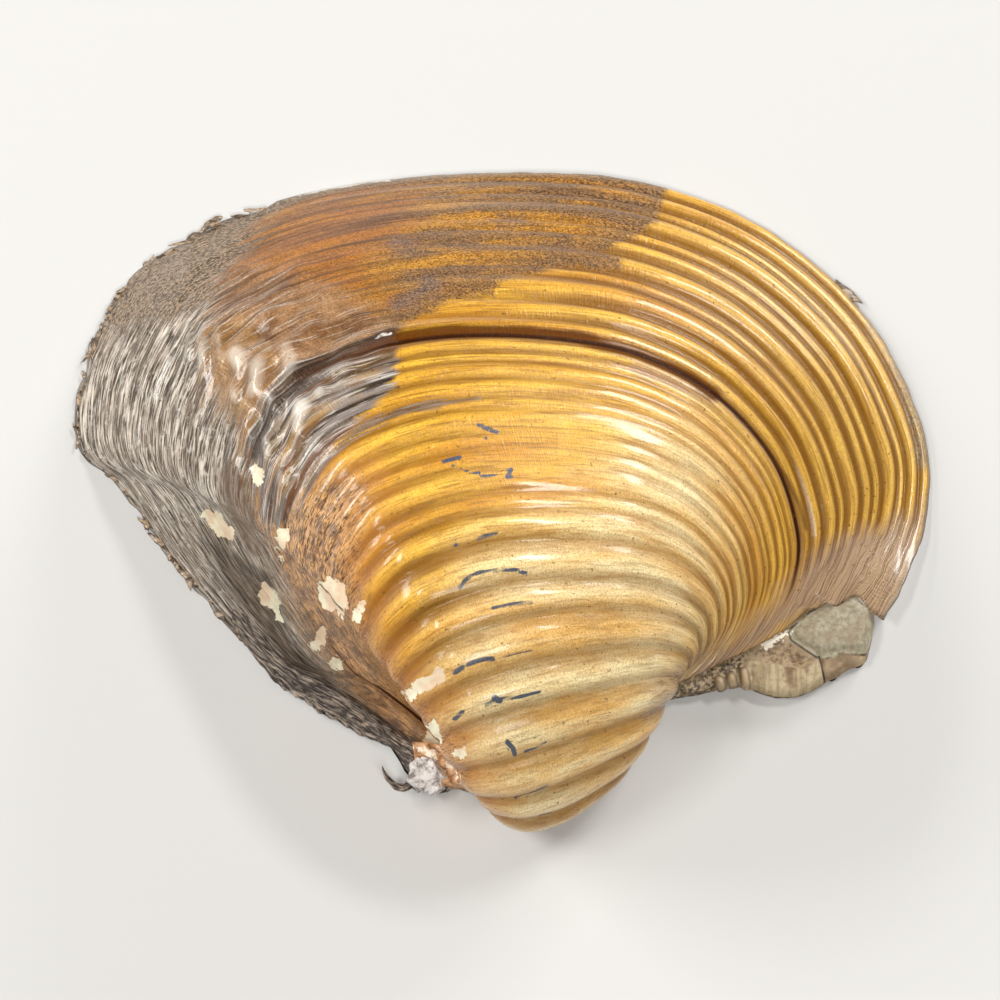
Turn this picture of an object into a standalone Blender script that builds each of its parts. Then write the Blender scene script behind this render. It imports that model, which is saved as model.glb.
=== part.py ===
"""Left valve of a swollen river mussel shell, lying on its rim, with the rest of its ligament.

A shell grows by adding to its rim. Each growth line is therefore a smaller copy of the rim,
leaned up and over about the hinge line, and the whole outside comes from that one rule.
+X points to the front end, +Y from the beak to the lower edge, and +Z up from the rim plane.
Sizes below are millimetres and are turned to metres where the points are placed.
"""

import math
import random

import bmesh
import bpy
from mathutils import Matrix, Vector

MM = 0.001

# The rim, from the back end of the hinge round the lower edge to the front end of the hinge
RIM = [
    (-5.2, -19.0), (-9.7, -15.8), (-13.6, -13.3), (-17.0, -11.4), (-23.0, -4.5), (-27.0, 1.3), (-29.3, 3.3),
    (-29.9, 6.5), (-28.9, 11.7), (-25.3, 17.7), (-17.1, 22.2), (-8.0, 24.3), (2.9, 24.8),
    (10.9, 23.8), (18.9, 20.4), (25.7, 14.1), (29.6, 6.1), (30.0, 0.0), (28.4, -4.8),
    (26.6, -7.9),
]

# The growth rule: growth runs from 0 at the tip of the beak to 1 at the rim
BEAK = Vector((0.4, -17.5))
BEAK_FORWARD = 2.0
BEAK_FORWARD_POWER = 4
HINGE_SLOPE = math.radians(16.9)
COIL = math.radians(286.0)
COIL_POWER = 3.68
COIL_OPEN = 0.245
LEAN_MAX = math.radians(166.0)
SPIN = math.radians(-11.5)
FRONT_HOLD = 0.8
FRONT_HOLD_FROM = 0.80
HINGE_GAP = 3.0

# The rim stands over the hinge plate in front of the beak
FRONT_LIFT = 1.4
FRONT_LIFT_FROM = 0.90
FRONT_LIFT_GROWN = 0.35
VIEW_SLANT = 0.36

# Growth ridges: each furrow's growth, and the crests' height as a part of their spacing
BEAK_FURROWS = [0.212, 0.245, 0.281, 0.318, 0.347, 0.380, 0.405, 0.438, 0.464]
REST_LINE = 0.658
MIDDLE_RIDGES = 10
OUTER_RIDGES = 13
BEAK_RIDGE = 0.17
MIDDLE_RIDGE = 0.12
OUTER_RIDGE = 0.18
REST_STEP = 0.3
REST_WIDTH = 0.010

# Where ridges fade out, as runs of growth or of the way around the rim
TIP_FADE = (0.10, 0.22)
BEAK_FADE = (0.40, 0.50)
REST_FADE = (REST_LINE, REST_LINE + 0.05)
OUTER_FADE = (0.34, 0.70)
BACK_FADE = (0.125, 0.345)
FRONT_FADE = (0.90, 0.98)

# The inside: wall, hinge plate and cavity
RIM_WIDTH = 1.0
BACK_PLATE = 2.2
BACK_PLATE_RISE = 0.1
FRONT_PLATE = 3.2
FRONT_PLATE_RISE = 0.6
BEAK_PLATE_RISE = 0.4
CAVITY_LEAN = math.radians(112.0)
CAVITY_DEPTH = 0.91
CAVITY_START = 0.2
BACK_PLATE_END = (0.14, 0.27)
FRONT_PLATE_START = (0.91, 1.0)

# How fine the faces are, and the small steps that slopes and lengths are measured with
COLUMNS = 46
TIP_ROWS = [0.0, 0.06, 0.12, 0.165]
BEAK_ROW_SHARES = (0.0, 0.3, 0.7)
ROW_SHARES = (0.0, 0.5)
CAVITY_ROWS = 13
CURVE_SAMPLES = 800
STEP = 0.004
MERGE = 1e-6

# The hinge plate that shows in front of the beak, its lower outline from the beak forwards
PLATE_OUTLINE = [
    (9.0, -15.6), (11.2, -15.0), (13.9, -14.6), (16.4, -14.1), (17.2, -14.4), (19.2, -14.9),
    (20.9, -14.8), (23.4, -13.6), (25.3, -12.2), (26.1, -10.6), (26.0, -9.0), (22.5, -7.4),
    (17.0, -9.6), (9.5, -13.2),
]
PLATE_BOTTOM = 0.4
PLATE_TOP = 2.0
PLATE_SLANT = 1.1

# Teeth under the hinge: centre, length, width, turn and root height of each
FRONT_TEETH = [(10.5, -12.0, 5.5, 2.4, 24.0, 2.4), (17.3, -8.7, 7.0, 2.2, 30.0, 2.0)]
BACK_TEETH = [(-14.0, -9.6, 12.0, 0.9, 137.0, 2.2), (-12.9, -8.3, 10.0, 0.8, 137.0, 4.4)]
TEETH_TIP = 0.25
TIP_LENGTH = 0.75
TIP_WIDTH = 0.45

# The ligament's rest: a rough strip behind the beak, a crumbly nub and a curl at its torn end.
# A route's points are place and thickness.
STRIP_ROUTE = [
    (-15.9, -13.2, 0.6, 0.5), (-13.3, -14.8, 0.8, 1.0), (-10.2, -16.8, 0.9, 1.2), (-7.4, -18.6, 1.0, 1.3),
    (-5.4, -20.0, 1.1, 1.2),
]
CURL_ROUTE = [
    (-5.4, -20.6, 1.0, 1.2), (-6.2, -21.3, 0.9, 0.8), (-7.0, -21.7, 0.8, 0.6), (-7.8, -21.4, 0.8, 0.5),
    (-8.2, -20.8, 0.8, 0.4), (-8.4, -20.1, 0.8, 0.2),
]
ROD_SIDES = 8
ROD_RINGS = 12
NUB = (-5.2, -20.6, 1.15)
NUB_SIZE = (2.0, 1.9, 1.7)
NUB_ROUGHNESS = 0.12
NUB_SEED = 5

SHARP_EDGE = math.radians(50.0)

HORNY_SKIN = (0.46, 0.24, 0.06, 1.0)
DRIED_LIGAMENT = (0.03, 0.02, 0.015, 1.0)


def clear_scene():
    for thing in list(bpy.data.objects):
        bpy.data.objects.remove(thing, do_unlink=True)


def smoothstep(low, high, value):
    """Rises smoothly from 0 at low to 1 at high."""
    part = min(max((value - low) / (high - low), 0.0), 1.0)
    return part * part * (3.0 - 2.0 * part)


def curve_point(points, part):
    """Point at a part (0 to 1) of the way along a smooth curve through the points."""
    place = part * (len(points) - 1)
    step = min(int(place), len(points) - 2)
    near = place - step
    last = len(points) - 1
    before, start, end, after = (
        Vector(points[min(max(step + offset, 0), last)]) for offset in (-1, 0, 1, 2)
    )
    return 0.5 * (
        2.0 * start
        + (end - before) * near
        + (2.0 * before - 5.0 * start + 4.0 * end - after) * near ** 2
        + (3.0 * start - before - 3.0 * end + after) * near ** 3
    )


def even_curve(points):
    """A function that gives the curve's point at a part of its own length."""
    fine = [curve_point(points, number / CURVE_SAMPLES) for number in range(CURVE_SAMPLES + 1)]
    lengths = [0.0]
    for start, end in zip(fine, fine[1:]):
        lengths.append(lengths[-1] + (end - start).length)

    def at(part):
        goal = min(max(part, 0.0), 1.0) * lengths[-1]
        low, high = 0, CURVE_SAMPLES
        while high - low > 1:
            middle = (low + high) // 2
            if lengths[middle] <= goal:
                low = middle
            else:
                high = middle
        share = (goal - lengths[low]) / (lengths[high] - lengths[low])
        return fine[low].lerp(fine[high], share)

    return at


rim_at = even_curve(RIM)


def lean(growth):
    """How far a growth line is turned up and over the hinge line."""
    left = 1.0 - growth
    turn = COIL * ((1.0 - COIL_OPEN) * left ** COIL_POWER + COIL_OPEN * left)
    return min(turn, LEAN_MAX)


def grow(rim_point, growth, around, turn, beak):
    """The place of a rim point when the shell had this growth."""
    along_x = Vector((math.cos(HINGE_SLOPE), math.sin(HINGE_SLOPE)))
    along_y = Vector((-math.sin(HINGE_SLOPE), math.cos(HINGE_SLOPE)))
    arm = rim_point - beak
    spin = SPIN * (1.0 - growth) * (1.0 - FRONT_HOLD * smoothstep(FRONT_HOLD_FROM, 1.0, around))
    along = arm.dot(along_x)
    across = arm.dot(along_y)
    along, across = (
        along * math.cos(spin) - across * math.sin(spin),
        along * math.sin(spin) + across * math.cos(spin),
    )
    across = 0.5 * (across + math.hypot(across, HINGE_GAP * (1.0 - growth)))
    forward = BEAK_FORWARD * (1.0 - growth) ** BEAK_FORWARD_POWER
    flat = beak + (growth * along + forward) * along_x + growth * across * math.cos(turn) * along_y
    return Vector((flat.x, flat.y, growth * across * math.sin(turn)))


def front_lift(growth, around):
    sector = smoothstep(FRONT_LIFT_FROM, 1.0, around)
    return FRONT_LIFT * sector * smoothstep(0.0, FRONT_LIFT_GROWN, growth)


def smooth_outside(growth, around):
    place = grow(rim_at(around), growth, around, lean(growth), BEAK)
    lift = front_lift(growth, around)
    return place + Vector((0.0, -VIEW_SLANT * lift, lift))


def furrow_list():
    furrows = list(BEAK_FURROWS)
    first = furrows[-1]
    furrows += [first + (REST_LINE - first) * n / MIDDLE_RIDGES for n in range(1, MIDDLE_RIDGES + 1)]
    furrows += [REST_LINE + (1.0 - REST_LINE) * n / OUTER_RIDGES for n in range(1, OUTER_RIDGES + 1)]
    return furrows


FURROWS = furrow_list()


def ridge_part(growth, around):
    """How strong the ridges are here: bold on the beak and in front, faint behind the back ridge."""
    beak_part = 1.0 - smoothstep(*BEAK_FADE, growth)
    outer_part = smoothstep(*REST_FADE, growth)
    part = BEAK_RIDGE * beak_part + OUTER_RIDGE * outer_part * smoothstep(*OUTER_FADE, around)
    part += MIDDLE_RIDGE * (1.0 - beak_part) * (1.0 - outer_part)
    ends = smoothstep(*BACK_FADE, around) * (1.0 - smoothstep(*FRONT_FADE, around))
    return part * ends * smoothstep(*TIP_FADE, growth)


def ridge_height(growth, around, pace):
    """Height above the furrows; pace is the surface's length for one unit of growth."""
    height = 0.0
    for low, high in zip(FURROWS, FURROWS[1:]):
        if low <= growth < high:
            crest = math.sin(math.pi * (growth - low) / (high - low))
            height = ridge_part(growth, around) * pace * (high - low) * crest
    rest = max(1.0 - abs(growth - REST_LINE) / REST_WIDTH, 0.0)
    return height - REST_STEP * rest * (1.0 - smoothstep(*FRONT_FADE, around))


def outside(growth, around):
    """The ridged outside: the smooth one, raised along its own normal."""
    here = smooth_outside(growth, around)
    if growth < TIP_FADE[0] or growth == 1.0:
        return here
    growing = smooth_outside(min(growth + STEP, 1.0), around) - smooth_outside(growth - STEP, around)
    passing = smooth_outside(growth, around + STEP) - smooth_outside(growth, around - STEP)
    normal = passing.cross(growing)
    pace = growing.length / (2.0 * STEP)
    return here + normal.normalized() * ridge_height(growth, around, pace)


def inner_rim(around):
    """The rim's inner edge: a narrow rim below, a wide hinge plate along the upper edges."""
    ahead = rim_at(around + STEP) - rim_at(around - STEP)
    inward = Vector((ahead.y, -ahead.x)).normalized()
    back = 1.0 - smoothstep(*BACK_PLATE_END, around)
    front = smoothstep(*FRONT_PLATE_START, around)
    width = RIM_WIDTH + (BACK_PLATE - RIM_WIDTH) * back + (FRONT_PLATE - RIM_WIDTH) * front
    return rim_at(around) + inward * width, BACK_PLATE_RISE * back + FRONT_PLATE_RISE * front


def inside(growth, around):
    edge, rise = inner_rim(around)
    across = Vector((-math.sin(HINGE_SLOPE), math.cos(HINGE_SLOPE)))
    beak = BEAK + across * FRONT_PLATE
    place = grow(edge, growth, around, min(lean(growth), CAVITY_LEAN), beak)
    floor = BEAK_PLATE_RISE + (rise - BEAK_PLATE_RISE) * growth
    return Vector((place.x, place.y, place.z * CAVITY_DEPTH + floor))


def sheet(surface, rows, columns):
    """A grid laid on a surface, whose first row meets in one point."""
    mesh = bmesh.new()
    bmesh.ops.create_grid(mesh, x_segments=columns, y_segments=len(rows) - 1, size=0.5)
    around_layer = mesh.verts.layers.float.new("around")
    growth_layer = mesh.verts.layers.float.new("growth")
    for vertex in mesh.verts:
        around = vertex.co.x + 0.5
        growth = rows[round((vertex.co.y + 0.5) * (len(rows) - 1))]
        vertex[around_layer] = around
        vertex[growth_layer] = growth
        vertex.co = surface(growth, around) * MM
    bmesh.ops.remove_doubles(mesh, verts=mesh.verts, dist=MERGE)
    return mesh


def inside_rows():
    grown = 1.0 - CAVITY_START
    return [0.0] + [CAVITY_START + grown * n / CAVITY_ROWS for n in range(CAVITY_ROWS + 1)]


def outside_rows():
    rows = list(TIP_ROWS)
    for low, high in zip(FURROWS, FURROWS[1:]):
        shares = BEAK_ROW_SHARES if high <= BEAK_FURROWS[-1] else ROW_SHARES
        rows += [low + (high - low) * share for share in shares]
    return rows + [1.0]


def border_runs(mesh):
    """The border's edges in three runs: the rim, and the two hinge sides from the beak's tip."""
    runs = {"rim": [], "back": [], "front": []}
    around = mesh.verts.layers.float["around"]
    growth = mesh.verts.layers.float["growth"]
    for edge in mesh.edges:
        if not edge.is_boundary:
            continue
        if all(vertex[growth] > 0.999 for vertex in edge.verts):
            runs["rim"].append(edge)
        elif max(vertex[around] for vertex in edge.verts) > 0.999:
            runs["front"].append(edge)
        else:
            runs["back"].append(edge)
    return runs


def shell_body():
    """Outside and inside sheets, joined round the rim and along the hinge."""
    outer = sheet(outside, outside_rows(), COLUMNS)
    inner = sheet(inside, inside_rows(), COLUMNS)
    bmesh.ops.reverse_faces(inner, faces=inner.faces)
    part = bpy.data.meshes.new("inner_sheet")
    inner.to_mesh(part)
    inner.free()
    outer.from_mesh(part)
    bpy.data.meshes.remove(part)
    for run in border_runs(outer).values():
        bmesh.ops.bridge_loops(outer, edges=run)
    bmesh.ops.triangulate(outer, faces=outer.faces)
    bmesh.ops.recalc_face_normals(outer, faces=outer.faces)
    return outer


def plate_body():
    """The hinge plate in front of the beak, with a slanted lower face."""
    mesh = bmesh.new()
    corners = [mesh.verts.new((x * MM, y * MM, PLATE_BOTTOM * MM)) for x, y in PLATE_OUTLINE]
    base = mesh.faces.new(corners)
    lifted = bmesh.ops.extrude_face_region(mesh, geom=[base])
    top = [item for item in lifted["geom"] if isinstance(item, bmesh.types.BMVert)]
    middle = sum((vertex.co for vertex in top), Vector()) / len(top)
    for vertex in top:
        inward = middle - vertex.co
        vertex.co += inward.normalized() * PLATE_SLANT * MM
        vertex.co.z = PLATE_TOP * MM
    bmesh.ops.recalc_face_normals(mesh, faces=mesh.faces)
    return mesh


def tooth_body(x, y, length, width, turn, root_height):
    """One hinge tooth: a wedge that narrows towards its tip."""
    mesh = bmesh.new()
    bmesh.ops.create_cube(mesh, size=1.0)
    for vertex in mesh.verts:
        root = vertex.co.z > 0.0
        vertex.co.x *= length * (1.0 if root else TIP_LENGTH)
        vertex.co.y *= width * (1.0 if root else TIP_WIDTH)
        vertex.co.z = root_height if root else TEETH_TIP
    place = Matrix.Translation((x, y, 0.0)) @ Matrix.Rotation(math.radians(turn), 4, "Z")
    bmesh.ops.transform(mesh, matrix=Matrix.Scale(MM, 4) @ place, verts=mesh.verts)
    return mesh


def rod_body(route):
    """A rod along a route whose points are place and thickness."""
    mesh = bmesh.new()
    loops = []
    for ring in range(ROD_RINGS + 1):
        part = ring / ROD_RINGS
        here = curve_point(route, part)
        ahead = curve_point(route, min(part + STEP, 1.0)) - curve_point(route, max(part - STEP, 0.0))
        turn = ahead.to_3d().to_track_quat("Z", "Y").to_matrix().to_4x4()
        place = Matrix.Translation(here.to_3d() * MM) @ turn
        circle = bmesh.ops.create_circle(mesh, segments=ROD_SIDES, radius=0.5 * here.w * MM, matrix=place)
        loops.append([edge for edge in mesh.edges if edge.verts[0] in circle["verts"]])
    for start, end in zip(loops, loops[1:]):
        bmesh.ops.bridge_loops(mesh, edges=start + end)
    ends = [edge for edge in mesh.edges if edge.is_boundary]
    bmesh.ops.holes_fill(mesh, edges=ends, sides=ROD_SIDES)
    bmesh.ops.recalc_face_normals(mesh, faces=mesh.faces)
    return mesh


def nub_body():
    """The crumbly lump at the ligament's torn end."""
    crumbs = random.Random(NUB_SEED)
    mesh = bmesh.new()
    bmesh.ops.create_icosphere(mesh, subdivisions=2, radius=0.5)
    for vertex in mesh.verts:
        vertex.co *= 1.0 + crumbs.uniform(-NUB_ROUGHNESS, NUB_ROUGHNESS)
    place = Matrix.Translation(NUB) @ Matrix.Diagonal((*NUB_SIZE, 1.0))
    bmesh.ops.transform(mesh, matrix=Matrix.Scale(MM, 4) @ place, verts=mesh.verts)
    return mesh


def add_object(name, mesh, material):
    data = bpy.data.meshes.new(name)
    mesh.to_mesh(data)
    mesh.free()
    thing = bpy.data.objects.new(name, data)
    bpy.context.collection.objects.link(thing)
    data.materials.append(material)
    data.shade_smooth()
    data.set_sharp_from_angle(angle=SHARP_EDGE)
    return thing


def make_material(name, colour, roughness):
    material = bpy.data.materials.new(name)
    material.use_nodes = True
    shader = material.node_tree.nodes["Principled BSDF"]
    shader.inputs["Base Color"].default_value = colour
    shader.inputs["Roughness"].default_value = roughness
    shader.inputs["Metallic"].default_value = 0.0
    return material


def unite(thing, others):
    """Join solids to a thing as one closed body."""
    for other in others:
        union = thing.modifiers.new(other.name, "BOOLEAN")
        union.operation = "UNION"
        union.object = other
        other.hide_render = True
        other.display_type = "WIRE"


def centre_on_box(things):
    """Move everything so that the origin is under the middle of the whole thing's box."""
    corners = [vertex.co for thing in things for vertex in thing.data.vertices]
    low = Vector([min(corner[axis] for corner in corners) for axis in range(3)])
    high = Vector([max(corner[axis] for corner in corners) for axis in range(3)])
    shift = Vector((-0.5 * (low.x + high.x), -0.5 * (low.y + high.y), -low.z))
    for thing in things:
        thing.location = shift


def main():
    clear_scene()
    skin = make_material("horny_skin", HORNY_SKIN, 0.35)
    dried = make_material("dried_ligament", DRIED_LIGAMENT, 0.7)

    valve = add_object("valve", shell_body(), skin)
    grown_on = [add_object("front_plate", plate_body(), skin)]
    for number, tooth in enumerate(FRONT_TEETH + BACK_TEETH):
        grown_on.append(add_object(f"tooth_{number}", tooth_body(*tooth), skin))
    unite(valve, grown_on)

    ligament = add_object("ligament", rod_body(STRIP_ROUTE), dried)
    torn_end = [
        add_object("curl", rod_body(CURL_ROUTE), dried),
        add_object("nub", nub_body(), dried),
    ]
    unite(ligament, torn_end)
    centre_on_box([valve, ligament] + grown_on + torn_end)


main()
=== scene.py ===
"""Looks of the left valve of a swollen river mussel shell, lying on its rim on a pale floor."""

import math
import random

import bmesh
import bpy
import numpy as np
from mathutils import Matrix, Vector, noise


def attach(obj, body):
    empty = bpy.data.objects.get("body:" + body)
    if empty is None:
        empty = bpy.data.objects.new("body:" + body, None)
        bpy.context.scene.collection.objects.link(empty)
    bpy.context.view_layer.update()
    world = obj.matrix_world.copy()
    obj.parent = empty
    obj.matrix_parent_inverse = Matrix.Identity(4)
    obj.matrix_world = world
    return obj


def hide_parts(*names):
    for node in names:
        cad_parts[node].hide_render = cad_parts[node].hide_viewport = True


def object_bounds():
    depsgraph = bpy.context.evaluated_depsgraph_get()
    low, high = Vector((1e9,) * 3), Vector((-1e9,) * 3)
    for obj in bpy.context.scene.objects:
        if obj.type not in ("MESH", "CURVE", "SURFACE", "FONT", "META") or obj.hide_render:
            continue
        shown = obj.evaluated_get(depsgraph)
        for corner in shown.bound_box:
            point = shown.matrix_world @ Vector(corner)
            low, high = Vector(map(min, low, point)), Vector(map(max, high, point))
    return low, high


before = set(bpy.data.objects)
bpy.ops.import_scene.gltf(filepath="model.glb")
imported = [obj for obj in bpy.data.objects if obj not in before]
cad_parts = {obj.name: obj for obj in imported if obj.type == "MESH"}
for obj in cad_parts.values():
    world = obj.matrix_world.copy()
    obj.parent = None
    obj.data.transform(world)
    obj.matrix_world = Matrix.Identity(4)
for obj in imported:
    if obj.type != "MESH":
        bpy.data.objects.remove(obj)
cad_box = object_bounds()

# The valve's outside: limy shell that the mantle added line by line at its rim, under a horny skin.
# Every growth line is a smaller copy of the rim, leaned over the hinge line, as in the solid's source.
# growth runs from 0 at the beak's tip to 1 at the rim, around from the hinge's back end to its front.
MM = 0.001
RIM = [
    (-5.2, -19.0), (-9.7, -15.8), (-13.6, -13.3), (-17.0, -11.4), (-23.0, -4.5), (-27.0, 1.3),
    (-29.3, 3.3), (-29.9, 6.5), (-28.9, 11.7), (-25.3, 17.7), (-17.1, 22.2), (-8.0, 24.3), (2.9, 24.8),
    (10.9, 23.8), (18.9, 20.4), (25.7, 14.1), (29.6, 6.1), (30.0, 0.0), (28.4, -4.8), (26.6, -7.9),
]
BEAK = np.array((0.4, -17.5))
BEAK_FORWARD = 2.0
BEAK_FORWARD_POWER = 4
HINGE_SLOPE = math.radians(16.9)
COIL = math.radians(286.0)
COIL_POWER = 3.68
COIL_OPEN = 0.245
LEAN_MAX = math.radians(166.0)
SPIN = math.radians(-11.5)
FRONT_HOLD = 0.8
FRONT_HOLD_FROM = 0.80
HINGE_GAP = 3.0
FRONT_LIFT = 1.4
FRONT_LIFT_FROM = 0.90
FRONT_LIFT_GROWN = 0.35
VIEW_SLANT = 0.36
ALONG_HINGE = np.array((math.cos(HINGE_SLOPE), math.sin(HINGE_SLOPE)))
ACROSS_HINGE = np.array((-math.sin(HINGE_SLOPE), math.cos(HINGE_SLOPE)))
CURVE_SAMPLES = 2000
STEP = 0.004
TINY = 1e-9


def smoothstep(low, high, value):
    part = np.clip((value - low) / (high - low), 0.0, 1.0)
    return part * part * (3.0 - 2.0 * part)


def smooth_curve(points, samples):
    """Points spread along a smooth curve through the given ones."""
    points = np.array(points, dtype=float)
    last = len(points) - 1
    place = np.linspace(0.0, last, samples)
    step = np.minimum(place.astype(int), last - 1)
    near = (place - step)[:, None]
    before, start, end, after = (points[np.clip(step + offset, 0, last)] for offset in (-1, 0, 1, 2))
    return 0.5 * (
        2.0 * start
        + (end - before) * near
        + (2.0 * before - 5.0 * start + 4.0 * end - after) * near ** 2
        + (3.0 * start - before - 3.0 * end + after) * near ** 3
    )


def lengths_along(points):
    return np.concatenate(([0.0], np.cumsum(np.linalg.norm(np.diff(points, axis=0), axis=1))))


rim_line = smooth_curve(RIM, CURVE_SAMPLES)
rim_lengths = lengths_along(rim_line)
RIM_LENGTH = rim_lengths[-1]


def rim_at(around):
    goal = np.clip(around, 0.0, 1.0) * RIM_LENGTH
    return np.stack([np.interp(goal, rim_lengths, rim_line[:, axis]) for axis in (0, 1)], axis=-1)


def lean(growth):
    left = 1.0 - growth
    turn = COIL * ((1.0 - COIL_OPEN) * left ** COIL_POWER + COIL_OPEN * left)
    return np.minimum(turn, LEAN_MAX)


def grow(rim_point, growth, around, turn, beak):
    """The places of rim points when the shell had this growth, in millimetres."""
    arm = rim_point - beak
    spin = SPIN * (1.0 - growth) * (1.0 - FRONT_HOLD * smoothstep(FRONT_HOLD_FROM, 1.0, around))
    along = arm @ ALONG_HINGE
    across = arm @ ACROSS_HINGE
    along, across = (
        along * np.cos(spin) - across * np.sin(spin), along * np.sin(spin) + across * np.cos(spin),
    )
    across = 0.5 * (across + np.hypot(across, HINGE_GAP * (1.0 - growth)))
    forward = BEAK_FORWARD * (1.0 - growth) ** BEAK_FORWARD_POWER
    flat = beak + (growth * along + forward)[..., None] * ALONG_HINGE
    flat = flat + (growth * across * np.cos(turn))[..., None] * ACROSS_HINGE
    return np.concatenate([flat, (growth * across * np.sin(turn))[..., None]], axis=-1)


def smooth_outside(growth, around):
    place = grow(rim_at(around), growth, around, lean(growth), BEAK)
    lift = FRONT_LIFT * smoothstep(FRONT_LIFT_FROM, 1.0, around) * smoothstep(0.0, FRONT_LIFT_GROWN, growth)
    place[..., 1] -= VIEW_SLANT * lift
    place[..., 2] += lift
    return place


# The camera stands where the photograph's stood, 45 cm off and 70 degrees up on the beak's side.
# Marks are placed by their pixels in its picture of 1000 by 1000, on the side that faces it.
ELEVATION = math.radians(70.0)
DISTANCE = 450.0
PIXELS = 1000
FOCAL_PIXELS = 6421.5
PIXELS_PER_MM = FOCAL_PIXELS / DISTANCE
SENSOR_MM = 36.0
# Depths in a zone go no further than FAR_MM. Chips and ink are only where the skin faces the camera.
FAR_MM = 20.0
OUTSIDE_PIXELS = -100.0
FACING = 0.05
TOWARDS_CAMERA = np.array((0.0, -math.cos(ELEVATION), math.sin(ELEVATION)))
PICTURE_UP = np.array((0.0, math.sin(ELEVATION), math.cos(ELEVATION)))
rim_shift = np.array((
    cad_box[0].x / MM - rim_line[:, 0].min(), cad_box[1].y / MM - rim_line[:, 1].max(), 0.0,
))


def picture_places(places):
    """Pixel places of points given in millimetres in the growth rule's own frame."""
    depth = DISTANCE - places @ TOWARDS_CAMERA
    right = FOCAL_PIXELS * places[:, 0] / depth
    up = FOCAL_PIXELS * (places @ PICTURE_UP) / depth
    return np.stack([0.5 * PIXELS + right, 0.5 * PIXELS - up], axis=-1)


def places_at(pixels, height):
    """Points in millimetres at a height over the floor, by the pixels they show at."""
    pixels = np.asarray(pixels, dtype=float)
    rays = np.zeros(pixels.shape[:-1] + (3,)) - TOWARDS_CAMERA * FOCAL_PIXELS
    rays[..., 0] += pixels[..., 0] - 0.5 * PIXELS
    rays += (0.5 * PIXELS - pixels[..., 1])[..., None] * PICTURE_UP
    eye = TOWARDS_CAMERA * DISTANCE
    return eye + ((height - eye[2]) / rays[..., 2])[..., None] * rays


def distance_to(start, end, spots):
    """How far in pixels spots are from the straight line between two points."""
    side = end - start
    part = np.clip(((spots - start) @ side) / (side @ side), 0.0, 1.0)
    return np.linalg.norm(spots - start - part[:, None] * side, axis=1)


def depth_inside(outline, spots):
    """How far in pixels each spot is inside an outline, below 0 outside it."""
    outline = np.array(outline, dtype=float)
    ends = np.roll(outline, -1, axis=0)
    inside = np.zeros(len(spots), dtype=bool)
    for start, end in zip(outline, ends):
        crosses = (start[1] > spots[:, 1]) != (end[1] > spots[:, 1])
        level = start[0] + (end[0] - start[0]) * (spots[:, 1] - start[1]) / (end[1] - start[1] or TINY)
        inside ^= crosses & (spots[:, 0] < level)
    nearest = np.min([distance_to(start, end, spots) for start, end in zip(outline, ends)], axis=0)
    return np.where(inside, nearest, -nearest)


def depth_in_stroke(line, width, spots):
    """How far in pixels each spot is inside a stroke of this width along a line."""
    line = np.array(line, dtype=float)
    return 0.5 * width - np.min([distance_to(*ends, spots) for ends in zip(line, line[1:])], axis=0)


def zone_depths(outlines, strokes, spots):
    """How far in pixels each spot is inside each zone, by the zones' names."""
    depths = {name: depth_inside(outline, spots) for name, outline in outlines.items()}
    for name, drawn in strokes.items():
        depths[name] = np.max([depth_in_stroke(*stroke, spots) for stroke in drawn], axis=0)
    return depths


def in_millimetres(depths):
    return {name: np.clip(depth / PIXELS_PER_MM, -FAR_MM, FAR_MM) for name, depth in depths.items()}


# Growth ridges and furrows, and the dark line where the shell stopped growing for a winter.
# Ridges are bold on the beak and in front, and break up into lumps behind.
BEAK_FURROWS = [
    0.03, 0.055, 0.08, 0.107, 0.137, 0.172, 0.212, 0.245, 0.281, 0.318, 0.347, 0.380, 0.405,
    0.438, 0.464,
]
REST_LINE = 0.658
MIDDLE_RIDGES = 10
OUTER_RIDGES = 11
BEAK_RIDGE = 0.17
MIDDLE_RIDGE = 0.12
OUTER_RIDGE = 0.25
REST_STEP = 0.04
TIP_FADE = (0.02, 0.24)
BEAK_FADE = (0.40, 0.50)
REST_FADE = (REST_LINE, REST_LINE + 0.05)
OUTER_FADE = (0.46, 0.76)
BACK_FADE = (0.125, 0.345)
FRONT_FADE = (0.90, 0.98)
RIDGE_JITTER = 0.22
FAINT_SPOT = (555, 455)
FAINT_REACH = (130, 75)
COLUMNS = 254
ROW_SPACING = 0.245
MIDDLE_AROUND = 0.615

middle_growth = np.linspace(0.0, 1.0, CURVE_SAMPLES)
middle_line = smooth_outside(middle_growth, np.full(CURVE_SAMPLES, MIDDLE_AROUND))
middle_lengths = lengths_along(middle_line)
furrows = np.array(
    BEAK_FURROWS
    + list(np.linspace(BEAK_FURROWS[-1], REST_LINE, MIDDLE_RIDGES + 1)[1:])
    + list(np.linspace(REST_LINE, 1.0, OUTER_RIDGES + 1)[1:])
)
uneven = np.sin(2.4 * np.arange(len(furrows))) * RIDGE_JITTER * np.gradient(furrows)
free = (furrows > BEAK_FURROWS[-1]) & (furrows != REST_LINE) & (furrows < 1.0)
furrows = furrows + uneven * free


def drift(places, size, seed):
    """Soft noise from -1 to 1 with blotches of this size."""
    return np.array([noise.noise(Vector(place) / size + Vector((seed, seed, seed))) for place in places])


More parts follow.
